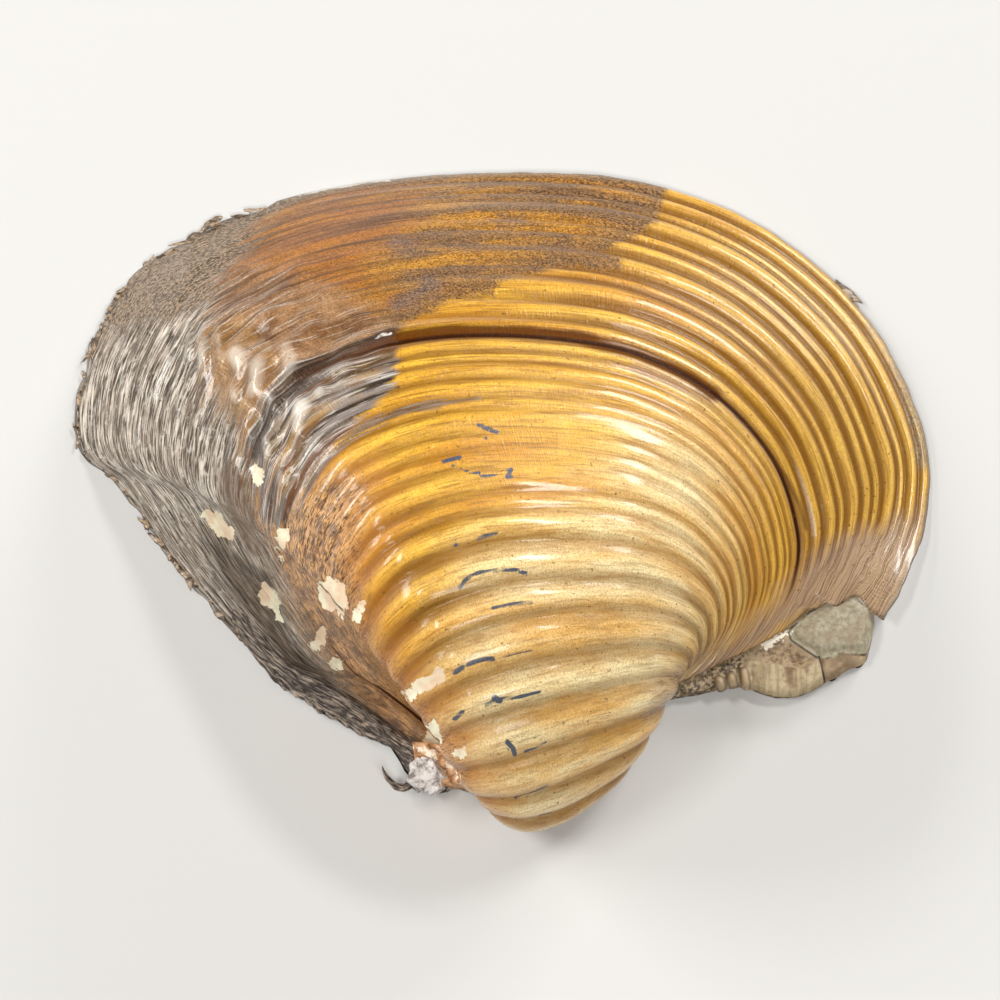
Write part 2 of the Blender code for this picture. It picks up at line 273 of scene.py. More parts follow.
def grid_sheet(surface, rows):
    """A grid laid on a surface, with each point's growth and way around kept on it."""
    sheet = bmesh.new()
    bmesh.ops.create_grid(sheet, x_segments=COLUMNS, y_segments=len(rows) - 1, size=0.5)
    shares = np.array([tuple(vertex.co) for vertex in sheet.verts]) + 0.5
    point_growth = rows[np.rint(shares[:, 1] * (len(rows) - 1)).astype(int)]
    places = surface(point_growth, shares[:, 0]) * MM
    around_layer = sheet.verts.layers.float.new("around")
    growth_layer = sheet.verts.layers.float.new("growth")
    for vertex, share, grown, place in zip(sheet.verts, shares[:, 0], point_growth, places):
        vertex[around_layer] = share
        vertex[growth_layer] = grown
        vertex.co = place
    return sheet


def as_mesh(sheet, name):
    made = bpy.data.meshes.new(name)
    sheet.to_mesh(made)
    sheet.free()
    return made


def give_material(faces, place):
    for face in faces:
        face.material_index = place


def put_in_scene(name, data):
    made = bpy.data.objects.new(name, data)
    bpy.context.collection.objects.link(made)
    return made


# The inside: mother-of-pearl over a hollow that follows the outside, a narrow rim below
# and a wide flat hinge plate along the upper edges.
RIM_WIDTH = 1.0
BACK_PLATE = 2.2
BACK_PLATE_RISE = 0.1
FRONT_PLATE = 3.2
FRONT_PLATE_RISE = 0.6
BEAK_PLATE_RISE = 0.4
CAVITY_LEAN = math.radians(112.0)
CAVITY_DEPTH = 0.91
CAVITY_START = 0.2
CAVITY_ROWS = 40
BACK_PLATE_END = (0.14, 0.27)
FRONT_PLATE_START = (0.91, 1.0)
MERGE = 1e-7
AT_END = 0.9999

# Places of the valve's materials in its list, after the horny skin
IN_NACRE = 1
IN_WORN_LIME = 2
IN_STAINED_LIME = 3


def inner_rim(around):
    ahead = rim_at(around + STEP) - rim_at(around - STEP)
    inward = np.stack([ahead[:, 1], -ahead[:, 0]], axis=-1)
    inward /= np.linalg.norm(inward, axis=1)[:, None]
    back = 1.0 - smoothstep(*BACK_PLATE_END, around)
    front = smoothstep(*FRONT_PLATE_START, around)
    width = RIM_WIDTH + (BACK_PLATE - RIM_WIDTH) * back + (FRONT_PLATE - RIM_WIDTH) * front
    return rim_at(around) + inward * width[:, None], BACK_PLATE_RISE * back + FRONT_PLATE_RISE * front


def inside(growth, around):
    edge, rise = inner_rim(around)
    beak = BEAK + ACROSS_HINGE * FRONT_PLATE
    place = grow(edge, growth, around, np.minimum(lean(growth), CAVITY_LEAN), beak)
    place[:, 2] = place[:, 2] * CAVITY_DEPTH + BEAK_PLATE_RISE + (rise - BEAK_PLATE_RISE) * growth
    return place


row_count = round(middle_lengths[-1] / ROW_SPACING)
outer_rows = np.interp(np.linspace(0.0, middle_lengths[-1], row_count), middle_lengths, middle_growth)
outer_rows[-1] = 1.0
inner_rows = np.concatenate(([0.0], np.linspace(CAVITY_START, 1.0, CAVITY_ROWS)))
shell = grid_sheet(smooth_outside, outer_rows)
side_layer = shell.verts.layers.float.new("outside")
for vertex in shell.verts:
    vertex[side_layer] = 1.0
lining = grid_sheet(inside, inner_rows)
bmesh.ops.reverse_faces(lining, faces=lining.faces)
give_material(lining.faces, IN_NACRE)
lining_mesh = as_mesh(lining, "lining")
shell.from_mesh(lining_mesh)
bpy.data.meshes.remove(lining_mesh)
bmesh.ops.remove_doubles(shell, verts=shell.verts, dist=MERGE)

border = {"rim": [], "back": [], "front": []}
around_layer = shell.verts.layers.float["around"]
growth_layer = shell.verts.layers.float["growth"]
for edge in shell.edges:
    if not edge.is_boundary:
        continue
    if all(vertex[growth_layer] > AT_END for vertex in edge.verts):
        border["rim"].append(edge)
    elif max(vertex[around_layer] for vertex in edge.verts) > AT_END:
        border["front"].append(edge)
    else:
        border["back"].append(edge)
for run in border.values():
    give_material(bmesh.ops.bridge_loops(shell, edges=run)["faces"], IN_NACRE)
bmesh.ops.triangulate(shell, faces=shell.faces)
bmesh.ops.recalc_face_normals(shell, faces=shell.faces)
valve_mesh = as_mesh(shell, "mussel_valve")


def read_marks(mesh, name):
    values = np.empty(len(mesh.vertices))
    mesh.attributes[name].data.foreach_get("value", values)
    return values


def write_marks(mesh, name, values):
    mark = mesh.attributes.new(name, "FLOAT", "POINT")
    mark.data.foreach_set("value", np.asarray(values, dtype=np.float32))


growth = read_marks(valve_mesh, "growth")
around = read_marks(valve_mesh, "around")
is_outside = read_marks(valve_mesh, "outside") > 0.5
smooth = smooth_outside(growth, around)
sooner, later = np.maximum(growth - STEP, 0.0), np.minimum(growth + STEP, 1.0)
behind, ahead = np.maximum(around - STEP, 0.0), np.minimum(around + STEP, 1.0)
growing = smooth_outside(later, around) - smooth_outside(sooner, around)
normal = np.cross(smooth_outside(growth, ahead) - smooth_outside(growth, behind), growing)
normal /= np.maximum(np.linalg.norm(normal, axis=1), TINY)[:, None]
pace = np.linalg.norm(growing, axis=1) / (later - sooner)
spots = picture_places(smooth)
faces_camera = normal @ TOWARDS_CAMERA > FACING
across_mm = np.interp(growth, middle_growth, middle_lengths)
along_mm = around * RIM_LENGTH

# Colour zones of the skin by their outlines in the picture
ZONES = {
    "veil": [
        (664, 190), (655, 226), (644, 233), (618, 245), (602, 252), (618, 261), (621, 272), (598, 271),
        (563, 266), (495, 284), (492, 295), (446, 299), (437, 309), (403, 322), (394, 346), (335, 368),
        (290, 372), (235, 300), (225, 330), (185, 290), (190, 230), (240, 190), (330, 165), (450, 160),
        (560, 160), (640, 170),
    ],
    "slope": [
        (300, 190), (262, 222), (236, 258), (214, 300), (204, 345), (214, 400), (238, 440), (252, 480),
        (262, 520), (282, 580), (300, 625), (340, 680), (390, 735), (425, 775), (430, 830), (300, 760),
        (60, 520), (40, 380), (90, 270), (180, 190),
    ],
    "silver": [
        (382, 334), (398, 345), (396, 385), (370, 412), (338, 440), (318, 470), (300, 505), (282, 530),
        (262, 520), (250, 470), (248, 440), (262, 405), (290, 375), (335, 350),
    ],
    "lumpy": [
        (185, 330), (225, 262), (250, 262), (330, 285), (395, 322), (394, 352), (308, 390), (284, 418),
        (270, 446), (276, 512), (215, 480), (190, 400),
    ],
    "reddish": [
        (296, 500), (330, 480), (358, 488), (352, 560), (362, 620), (400, 690), (452, 742), (470, 800),
        (440, 800), (400, 760), (340, 710), (270, 640), (240, 560), (240, 500),
    ],
    "pale_beak": [
        (470, 560), (560, 520), (640, 450), (700, 420), (740, 480), (720, 600), (690, 700), (600, 830),
        (520, 840), (450, 790), (440, 700), (460, 620),
    ],
    "pale_front": [
        (700, 260), (820, 250), (960, 400), (960, 640), (860, 640), (760, 660), (800, 560), (790, 440),
        (730, 340),
    ],
    "dull_front": [
        (930, 500), (925, 560), (900, 620), (860, 640), (790, 640), (700, 690), (650, 712), (655, 690),
        (700, 655), (740, 630), (775, 602), (802, 570), (822, 552), (860, 545), (905, 525),
    ],
    "upper_grey": [
        (330, 180), (310, 205), (272, 228), (240, 262), (212, 300), (180, 322), (130, 330), (80, 350),
        (60, 300), (180, 180),
    ],
    "dark_slope": [
        (205, 522), (232, 548), (268, 566), (282, 600), (296, 640), (330, 672), (372, 706), (392, 728),
        (380, 736), (330, 700), (280, 655), (236, 604), (208, 560),
    ],
    "brown_patch": [(218, 470), (246, 466), (262, 500), (262, 560), (246, 556), (228, 520)],
    "brown_shade": [
        (205, 250), (330, 186), (420, 192), (410, 230), (370, 262), (395, 300), (330, 300), (250, 290),
        (190, 300),
    ],
}
CHIPS = [
    [(200, 514), (208, 511), (222, 516), (229, 528), (234, 545), (218, 536), (204, 527)],
    [(256, 586), (264, 583), (276, 590), (280, 605), (283, 622), (268, 608), (259, 598)],
    [(278, 530), (290, 526), (286, 545), (281, 566), (276, 548)],
    [(250, 468), (258, 462), (265, 470), (263, 484), (255, 479)],
    [(318, 584), (330, 575), (345, 585), (348, 600), (342, 620), (333, 612), (322, 606)],
    [(355, 612), (369, 598), (362, 617), (354, 624)],
    [(311, 645), (318, 630), (326, 628), (325, 646), (316, 651)],
    [(329, 660), (336, 656), (343, 666), (335, 672)],
    [(403, 692), (420, 680), (438, 668), (452, 666), (445, 682), (428, 688), (412, 700)],
    [(425, 730), (437, 716), (443, 728), (440, 750), (430, 757), (419, 752)],
    [(457, 748), (466, 744), (468, 755), (460, 757)],
    [(446, 762), (454, 764), (464, 775), (460, 780), (450, 772)],
]

# Marks drawn as strokes in the picture, each with its points and its width
STROKES = {
    "branch": [([(735, 416), (752, 432), (770, 455), (786, 478), (798, 505), (805, 530)], 3.0)],
    "silver_streak": [
        ([(306, 486), (322, 462), (345, 441), (372, 425), (400, 413), (440, 404)], 9.0),
        ([(436, 404), (478, 398)], 4.5),
    ],
    "violet_streak": [([(636, 369), (660, 378), (690, 388), (710, 398)], 14.0)],
    "rest_thick": [
        ([(400, 338), (450, 333), (520, 334), (580, 341), (640, 357), (690, 379), (714, 395)], 13.0),
    ],
    "dark_streak": [([(258, 452), (268, 424), (285, 398), (310, 374), (345, 354), (392, 338)], 15.0)],
    "grey_margin": [([(845, 282), (872, 318), (897, 362), (914, 408), (924, 460)], 20.0)],
    "pearl_sliver": [
        ([(300, 196), (330, 189), (352, 186), (392, 181)], 2.0), ([(374, 341), (382, 337), (393, 336)], 2.6),
    ],
    "violet_spots": [
        ([(396, 242), (406, 244)], 13.0), ([(398, 304), (420, 292), (434, 284)], 15.0),
        ([(500, 222), (520, 223)], 8.0),
    ],
    "ink": [
        ([(478, 426), (486, 429), (498, 433)], 4.2),
        ([(484, 438), (486, 440)], 3.6),
        ([(443, 463), (452, 460), (460, 458)], 4.4),
        ([(450, 465), (460, 469), (474, 474), (480, 473)], 2.8),
        ([(481, 477), (497, 476)], 3.6),
        ([(506, 470), (512, 469), (509, 474), (506, 478), (512, 477)], 3.6),
        ([(476, 540), (486, 537), (497, 535)], 4.0),
        ([(454, 546), (457, 545)], 4.2),
        ([(459, 590), (466, 580), (478, 574), (495, 572)], 4.0),
        ([(500, 571), (514, 571), (526, 575)], 4.0),
        ([(492, 609), (512, 605), (531, 603)], 4.2),
        ([(456, 671), (464, 666)], 5.0),
        ([(469, 663), (480, 659), (493, 658)], 5.0),
        ([(496, 657), (513, 653), (530, 649)], 3.0),
        ([(485, 703), (500, 697), (518, 695), (537, 691)], 4.0),
        ([(494, 695), (499, 699)], 5.5),
        ([(457, 716), (465, 709)], 4.6),
        ([(506, 738), (512, 745), (514, 752)], 4.8),
        ([(524, 749), (534, 745), (544, 740)], 3.2),
        ([(515, 796), (530, 790), (545, 782)], 3.2),
        ([(538, 811), (549, 808)], 2.6),
    ],
}
zones = zone_depths(ZONES, STROKES, spots)
zones["chip"] = np.max([depth_inside(chip, spots) for chip in CHIPS], axis=0)
for name in ("chip", "ink"):
    zones[name] = np.where(faces_camera, zones[name], OUTSIDE_PIXELS)
zones = in_millimetres(zones)

# The relief: ridges, the rest line's groove, fine growth lines, and lumps behind.
# A lump has its middle and half size in the picture, and its share of the rise.
LUMP_RISE = 1.5
LUMPS = [
    ((240, 362), (10, 16), 0.42), ((262, 374), (12, 22), 0.45), ((290, 360), (14, 16), 0.40),
    ((238, 396), (8, 15), 0.40), ((257, 394), (9, 12), 0.38), ((275, 405), (10, 14), 0.30),
    ((222, 348), (6, 24), 0.34), ((205, 350), (6, 28), 0.30), ((190, 350), (5, 24), 0.20),
    ((305, 410), (12, 12), 0.38), ((322, 395), (9, 9), 0.30), ((270, 450), (8, 22), 0.32),
    ((300, 430), (10, 14), 0.30), ((285, 480), (9, 22), 0.26), ((345, 375), (14, 9), 0.26),
    ((250, 425), (6, 18), 0.30), ((330, 300), (16, 10), 0.18), ((300, 270), (14, 10), 0.15),
    ((270, 320), (12, 12), 0.22), ((312, 330), (12, 10), 0.22),
]

# Noise drawn out along the growth lines: height, length and width in millimetres, and seed
LINE_WANDER = [(0.0028, 26.0, 9.0, 3.1)]
RIDGE_WAVES = [(0.45, 30.0, 2.5, 8.3)]
GROWTH_LINES = [(0.060, 26.0, 1.1, 1.7), (0.028, 14.0, 0.55, 5.2)]
SILVER_LINES = [(0.10, 16.0, 0.55, 6.4)]
SMALL_LUMPS = [(0.30, 2.6, 1.3, 4.4)]
FRAYED_LINES = [(0.08, 5.0, 0.8, 9.1), (0.10, 30.0, 0.9, 2.8)]
RIM_FRAY = [(0.10, 1.6, 50.0, 2.6)]
BACK_RIM_FRAY = [(0.45, 1.5, 50.0, 6.6)]
CREST_POWER = 0.7
FAINT_LOSS = 0.7
REST_WIDTH = 0.28
REST_SHOWS = (290.0, 400.0)
CHIP_DEPTH = 0.13


def ridge_part(growth, around):
    beak_part = 1.0 - smoothstep(*BEAK_FADE, growth)
    outer_part = smoothstep(*REST_FADE, growth)
    part = BEAK_RIDGE * beak_part + OUTER_RIDGE * outer_part * smoothstep(*OUTER_FADE, around)
    part = part + MIDDLE_RIDGE * (1.0 - beak_part) * (1.0 - outer_part)
    ends = smoothstep(*BACK_FADE, around) * (1.0 - smoothstep(*FRONT_FADE, around))
    return part * ends * smoothstep(*TIP_FADE, growth)


def drawn_out(rows):
    return sum(
        height * drift(np.stack([along_mm / length, across_mm / width, 0.0 * along_mm], axis=-1), 1.0, seed)
        for height, length, width, seed in rows
    )


wavy_growth = growth + drawn_out(LINE_WANDER) * smoothstep(0.1, 0.4, growth)
gap = np.clip(np.searchsorted(furrows, wavy_growth) - 1, 0, len(furrows) - 2)
gap_growth = furrows[gap + 1] - furrows[gap]
share = np.clip((wavy_growth - furrows[gap]) / gap_growth, 0.0, 1.0)
crest = np.where(wavy_growth < furrows[0], 0.0, np.sin(math.pi * share) ** CREST_POWER)
faintness = np.exp(-np.sum(((spots - FAINT_SPOT) / FAINT_REACH) ** 2, axis=1))
strength = ridge_part(growth, around) * (1.0 - FAINT_LOSS * faintness)
relief = strength * gap_growth * pace * crest * (1.0 + drawn_out(RIDGE_WAVES))
rest_distance = (wavy_growth - REST_LINE) * pace
rest_shown = smoothstep(*REST_SHOWS, spots[:, 0]) * (1.0 - smoothstep(*FRONT_FADE, around))
relief -= REST_STEP * np.exp(-(rest_distance / REST_WIDTH) ** 2) * rest_shown
plain_front = 1.0 - 0.75 * smoothstep(*REST_FADE, growth) * smoothstep(*OUTER_FADE, around)
relief += drawn_out(GROWTH_LINES) * smoothstep(0.10, 0.25, growth) * plain_front
relief += drawn_out(SILVER_LINES) * smoothstep(-0.3, 0.6, np.maximum(zones["silver"], zones["silver_streak"]))
lumps = drawn_out(SMALL_LUMPS) * smoothstep(-0.6, 1.2, zones["lumpy"]) * smoothstep(205.0, 245.0, spots[:, 0])
for (x, y), (wide, tall), height in LUMPS:
    far = ((spots[:, 0] - x) / wide) ** 2 + ((spots[:, 1] - y) / tall) ** 2
    lumps += LUMP_RISE * height * np.exp(-far) * faces_camera
relief += lumps
relief += drawn_out(FRAYED_LINES) * smoothstep(-0.5, 1.5, np.maximum(zones["slope"], zones["lumpy"]))
relief -= CHIP_DEPTH * smoothstep(-0.05, 0.12, zones["chip"])
relief *= 1.0 - smoothstep(0.9985, 1.0, growth)

places = np.empty(len(valve_mesh.vertices) * 3)
valve_mesh.vertices.foreach_get("co", places)
places = places.reshape(-1, 3)
places[is_outside] = (smooth + normal * relief[:, None])[is_outside] * MM

# The front upper edge is drawn back over the hinge plate, and ends in a curled flap of skin
EDGE_GROWTH = [0.0, 0.50, 0.66, 0.77, 0.87, 0.93, 0.965, 1.0]
EDGE_DRAWN = [0.0, 0.0, 0.45, 1.35, 1.6, 1.2, 0.1, -0.8]
drawn = np.interp(growth, EDGE_GROWTH, EDGE_DRAWN)
drawn += 0.45 * drift(smooth, 0.9, 3.7) * smoothstep(0.6, 0.8, growth)
places[:, 1] += drawn * smoothstep(0.86, 1.0, around) * is_outside * MM

# The rim is ragged where the horny skin has dried and flaked, most of all behind
outward = smooth * (1.0, 1.0, 0.0) + (0.0, 2.0, 0.0)
outward /= np.maximum(np.linalg.norm(outward, axis=1), TINY)[:, None]
ragged = 1.0 - smoothstep(0.40, 0.62, around)
fray = np.minimum(drawn_out(RIM_FRAY) + drawn_out(BACK_RIM_FRAY) * ragged, 0.05)
rimward = smoothstep(0.975, 1.0, growth) * is_outside
places += outward * (fray * rimward * MM)[:, None]
places += rim_shift * MM
places[:, 2] = np.maximum(places[:, 2], 0.0)
valve_mesh.vertices.foreach_set("co", places.ravel().astype(np.float32))

# Inside, the scars of the two muscles that closed the shell, as places around and in growth and as sizes
MUSCLE_SCARS = [((0.27, 0.80), (0.060, 0.10)), ((0.865, 0.80), (0.045, 0.09))]
scars = [
    1.0 - ((around - x) / wide) ** 2 - ((growth - y) / tall) ** 2 for (x, y), (wide, tall) in MUSCLE_SCARS
]
furrow_strength = np.clip(strength / 0.12, 0.0, 1.2) * (wavy_growth > furrows[0])
kept_marks = {
    **zones,
    # The furrow mark carries painted shade into the skin's colour, darkest at the bottom of each furrow
    "furrow": (1.0 - np.sin(math.pi * share) ** 2) * furrow_strength,
    "lumps": lumps,
    "rest": np.clip(rest_distance, -FAR_MM, FAR_MM),
    "rest_shown": rest_shown,
    "from_rim": np.clip((1.0 - growth) * pace, 0.0, FAR_MM),
    "scar": np.clip(np.max(scars, axis=0), -1.0, 1.0),
}
for name, values in kept_marks.items():
    write_marks(valve_mesh, name, values)
growth_place = valve_mesh.attributes.new("growth_place", "FLOAT_VECTOR", "POINT")
growth_places = np.stack([along_mm, across_mm, 0.0 * along_mm], axis=-1)
growth_place.data.foreach_set("vector", growth_places.ravel().astype(np.float32))


# The hinge plate in front of the beak: bare lime that the shell's front edge overhangs. It shows a
# smooth tooth face, a striped bed of the ligament under it, and crumbs of dried skin by the beak.
PLATE_LOWER = [
    (650, 708), (665, 701), (679, 697), (709, 692), (734, 686), (749, 688), (763, 693), (775, 697),
    (795, 697), (809, 692), (825, 683), (841, 674), (850, 669), (864, 664), (870, 649), (874, 628),
    (874, 614),
]
PLATE_UPPER = [
    (650, 700), (664, 690), (677, 680), (697, 668), (716, 658), (733, 648), (750, 638), (764, 630),
    (778, 622), (792, 614), (806, 608), (820, 602), (834, 597), (848, 594), (858, 592), (868, 594),
    (876, 602),
]
PLATE_ZONES = {
    "tooth_face": [
        (788, 631), (810, 612), (831, 600), (854, 595), (874, 604), (876, 628), (870, 649), (865, 655),
        (850, 654), (843, 653), (825, 659), (816, 657), (804, 649), (791, 640),
    ],
    "brown_face": [(762, 643), (788, 640), (804, 655), (816, 658), (799, 667), (763, 662), (752, 654)],
    "striped_bed": [
        (752, 660), (763, 661), (799, 668), (818, 658), (825, 683), (809, 692), (795, 697), (775, 697),
        (763, 693), (749, 688), (738, 684), (738, 664),
    ],
    "crumbs": [
        (640, 712), (668, 690), (700, 672), (735, 656), (750, 650), (742, 670), (722, 684), (712, 696),
        (680, 700),
    ],
    # Painted highlight: the glint on the tooth's lower edge
    "glint": [(764, 642), (778, 634), (790, 629), (786, 636), (774, 644), (764, 650)],
}
PLATE_STROKES = {
    "plate_crack": [([(819, 656), (821, 662), (823, 672), (825, 686)], 2.0)],
    "knobs": [
        ([(719, 680), (722, 687)], 10.0), ([(731, 677), (734, 686)], 10.0), ([(744, 672), (746, 685)], 10.0),
    ],
}
# How far each zone rises in millimetres, and over which run of its depth
PLATE_STEPS = {
    "tooth_face": (0.50, -0.05, 0.9), "brown_face": (-0.25, 0.0, 0.5), "striped_bed": (0.12, -0.05, 0.08),
    "plate_crack": (-0.30, -0.10, 0.08), "glint": (0.10, 0.0, 0.1), "knobs": (0.45, -0.05, 0.25),
}
ABOVE_PLATE = [(900, 560), (640, 560)]
PLATE_COLUMNS = 150
PLATE_ROWS = 36
PLATE_BOTTOM = 0.35
PLATE_TOP = 1.25
PLATE_EDGE = 0.7
STRIPE_ALONG = 0.12


def band_between(lower, upper, columns, rows, power=1.0):
    """A grid between two lines of the picture, with each point's shares of the way and its pixels."""
    sheet = bmesh.new()
    bmesh.ops.create_grid(sheet, x_segments=columns, y_segments=rows, size=0.5)
    shares = ruled_shares(sheet)
    column = np.rint(shares[:, 0] * columns).astype(int)
    lower_line, upper_line = (smooth_curve(line, columns + 1)[column] for line in (lower, upper))
    return sheet, shares, lower_line + (upper_line - lower_line) * shares[:, 1:] ** power


def ruled_shares(sheet):
    """A grid's two shares of the way across it, from 0 to 1."""
    return np.array([tuple(vertex.co) for vertex in sheet.verts])[:, :2] + 0.5


def set_places(mesh, places):
    for vertex, place in zip(mesh.verts, places):
        vertex.co = place * MM


def close_below(sheet, bottom, thick=FAR_MM):
    """Gives a sheet a wall and a back, this thick but no lower than the bottom, in millimetres."""
    loop = [edge for edge in sheet.edges if edge.is_boundary]
    copied = bmesh.ops.duplicate(sheet, geom=sheet.faces[:] + sheet.edges[:] + sheet.verts[:])
    back = [item for item in copied["geom"] if isinstance(item, bmesh.types.BMFace)]
    back_points = [item for item in copied["geom"] if isinstance(item, bmesh.types.BMVert)]
    back_loop = [item for item in copied["geom"] if isinstance(item, bmesh.types.BMEdge) and item.is_boundary]
    bmesh.ops.reverse_faces(sheet, faces=back)
    for vertex in back_points:
        vertex.co.z = max(vertex.co.z - thick * MM, bottom * MM)
    bmesh.ops.bridge_loops(sheet, edges=loop + back_loop)
    bmesh.ops.recalc_face_normals(sheet, faces=sheet.faces)
    return back


plate, shares, plate_spots = band_between(PLATE_LOWER, PLATE_UPPER, PLATE_COLUMNS, PLATE_ROWS, 1.2)
plate_spots[:, 1] += 3.6 * drift(places_at(plate_spots, PLATE_TOP), 0.7, 5.5) * (1.0 - shares[:, 1]) ** 3
plate_zones = in_millimetres(zone_depths(PLATE_ZONES, PLATE_STROKES, plate_spots))
plate_spread = places_at(plate_spots, PLATE_TOP)
rounding = depth_inside(PLATE_LOWER + ABOVE_PLATE, plate_spots) / PIXELS_PER_MM / PLATE_EDGE
rounding = np.sqrt(1.0 - (1.0 - np.clip(rounding, 0.0, 1.0)) ** 2)
height = PLATE_BOTTOM + (PLATE_TOP - PLATE_BOTTOM) * rounding
for name, (rise, low, high) in PLATE_STEPS.items():
    height += rise * smoothstep(low, high, plate_zones[name])
crumb_rise = 0.28 * drift(plate_spread, 0.55, 3.3) + 0.10 * drift(plate_spread, 0.22, 9.3)
height += crumb_rise * smoothstep(-0.1, 0.5, plate_zones["crumbs"])
stripe_rise = 0.05 * drift(plate_spread * (1.0, STRIPE_ALONG, 0.0), 0.30, 1.3)
height += stripe_rise * smoothstep(-0.1, 0.2, plate_zones["striped_bed"])
height += 0.12 * drift(plate_spread, 1.3, 6.3) + 0.05 * drift(plate_spread, 0.4, 7.3)
height = np.maximum(height, PLATE_BOTTOM)
set_places(plate, places_at(plate_spots, height) + rim_shift)
for name, depth in plate_zones.items():
    layer = plate.verts.layers.float.new(name)
    for vertex, value in zip(plate.verts, depth):
        vertex[layer] = value
give_material(plate.faces, IN_WORN_LIME)
give_material(close_below(plate, PLATE_BOTTOM), IN_NACRE)

# The narrow ledge behind the beak, which runs up into the beak's underside
LEDGE_LOWER = [(420, 787), (434, 789), (448, 789), (462, 787), (504, 792)]
LEDGE_UPPER = [(412, 742), (428, 742), (444, 746), (462, 758), (506, 776)]
LEDGE_COLUMNS = 40
LEDGE_ROWS = 20
LEDGE_HEIGHT = 1.3
LEDGE_THICK = 0.95
LEDGE_RISE = 2.7
LEDGE_RISES = (446.0, 492.0)
ledge, shares, ledge_spots = band_between(LEDGE_LOWER, LEDGE_UPPER, LEDGE_COLUMNS, LEDGE_ROWS)
ledge_height = LEDGE_HEIGHT * np.sqrt(np.clip(shares[:, 1] * 6.0, 0.1, 1.0))
ledge_height += 0.3 * drift(places_at(ledge_spots, 1.0), 0.8, 2.1)
ledge_height += LEDGE_RISE * smoothstep(*LEDGE_RISES, ledge_spots[:, 0])
set_places(ledge, places_at(ledge_spots, ledge_height) + rim_shift)
give_material(ledge.faces, IN_STAINED_LIME)
close_below(ledge, PLATE_BOTTOM, LEDGE_THICK)
ledge_mesh = as_mesh(ledge, "ledge")

# Teeth under the hinge: two rugged ones in front of the beak, two long blades behind it.
# Each has its middle, length, width, turn in degrees and the height of its root.
FRONT_TEETH = [(10.5, -12.0, 5.5, 2.4, 24.0, 2.4), (17.3, -8.7, 7.0, 2.2, 30.0, 2.0)]
BACK_TEETH = [(-14.0, -9.6, 12.0, 0.9, 137.0, 2.2), (-12.9, -8.3, 10.0, 0.8, 137.0, 4.4)]
TEETH_TIP = 0.25
FRONT_RUGGEDNESS = 0.35
BACK_RUGGEDNESS = 0.12


def add_tooth(mesh, x, y, length, width, turn, root_height, ruggedness):
    """One hinge tooth: a long rounded ridge with small grooves down its sides."""
    made = bmesh.ops.create_uvsphere(mesh, u_segments=36, v_segments=18, radius=1.0)
    for vertex in made["verts"]:
        groove = 1.0 + ruggedness * noise.noise(Vector((vertex.co.x * length * 0.9, vertex.co.y, x)))
        end = math.copysign(abs(vertex.co.x) ** 0.8, vertex.co.x)
        vertex.co.x = 0.5 * length * end
        vertex.co.y = 0.5 * width * vertex.co.y * groove
        vertex.co.z = root_height + (root_height - TEETH_TIP) * min(vertex.co.z, 0.0) * groove
        vertex.co.z = max(vertex.co.z, TEETH_TIP)
    turned = Matrix.Rotation(math.radians(turn), 4, "Z")
    place = Matrix.Translation(Vector((x, y, 0.0)) + Vector(rim_shift)) @ turned
    bmesh.ops.transform(mesh, matrix=Matrix.Scale(MM, 4) @ place, verts=made["verts"])
    give_material({face for vertex in made["verts"] for face in vertex.link_faces}, IN_NACRE)


for teeth, ruggedness in ((FRONT_TEETH, FRONT_RUGGEDNESS), (BACK_TEETH, BACK_RUGGEDNESS)):
    for tooth in teeth:
        add_tooth(plate, *tooth, ruggedness)
plate_mesh = as_mesh(plate, "hinge_plate")

# Small flakes of dried skin stand out along the ragged rim behind, and two bigger ones by the corners.
# Each has its way around, length, width, how far it stands out, and its turn.
FLAKE_COUNT = 90
FLAKE_SPAN = (0.09, 0.46)
FLAKE_LENGTHS = (0.4, 1.6)
FLAKE_WIDTHS = (0.15, 0.45)
FLAKE_STANDS_OUT = (-0.25, 0.05)
FLAKE_TURNS = (-0.5, 0.5)
FLAKE_THICKNESS = 0.10
FLAKE_TILT = -0.3
FLAKE_RISE = 0.25
FLAKE_GRAIN = 0.35
BIG_FLAKES = [(0.425, 2.0, 0.7, 0.25, 0.2), (0.800, 2.2, 0.9, 0.15, 0.1)]
flake_rolls = random.Random(11)
flake_runs = (FLAKE_SPAN, FLAKE_LENGTHS, FLAKE_WIDTHS, FLAKE_STANDS_OUT, FLAKE_TURNS)
flake_spots = [tuple(flake_rolls.uniform(*run) for run in flake_runs) for _ in range(FLAKE_COUNT)]
flakes = bmesh.new()
flake_layers = {name: flakes.verts.layers.float.new(name) for name in (*zones, "from_rim", "growth")}
flake_grain = flakes.verts.layers.float_vector.new("growth_place")
for way_around, length, width, stand_out, turn in flake_spots + BIG_FLAKES:
    here = np.array((way_around,))
    spot = smooth_outside(np.array((0.995,)), here)[0]
    ahead = rim_at(here + STEP)[0] - rim_at(here - STEP)[0]
    made = bmesh.ops.create_icosphere(flakes, subdivisions=2, radius=0.5)
    for vertex in made["verts"]:
        vertex.co *= 1.0 + 0.8 * noise.noise(vertex.co * 4.0 + Vector((length * 90.0, 0.0, 0.0)))
    lie = Matrix.Rotation(math.atan2(ahead[1], ahead[0]) + turn, 4, "Z") @ Matrix.Rotation(FLAKE_TILT, 4, "X")
    shape = Matrix.Diagonal((length, width, FLAKE_THICKNESS, 1.0))
    away = Vector((-ahead[1], ahead[0], 0.0)).normalized() * stand_out
    place = Matrix.Translation(Vector(spot + rim_shift) + away + Vector((0.0, 0.0, FLAKE_RISE)))
    bmesh.ops.transform(flakes, matrix=Matrix.Scale(MM, 4) @ place @ lie @ shape, verts=made["verts"])
flake_marks = {"slope": 5.0, "upper_grey": 5.0, "from_rim": 1.0, "growth": 1.0}
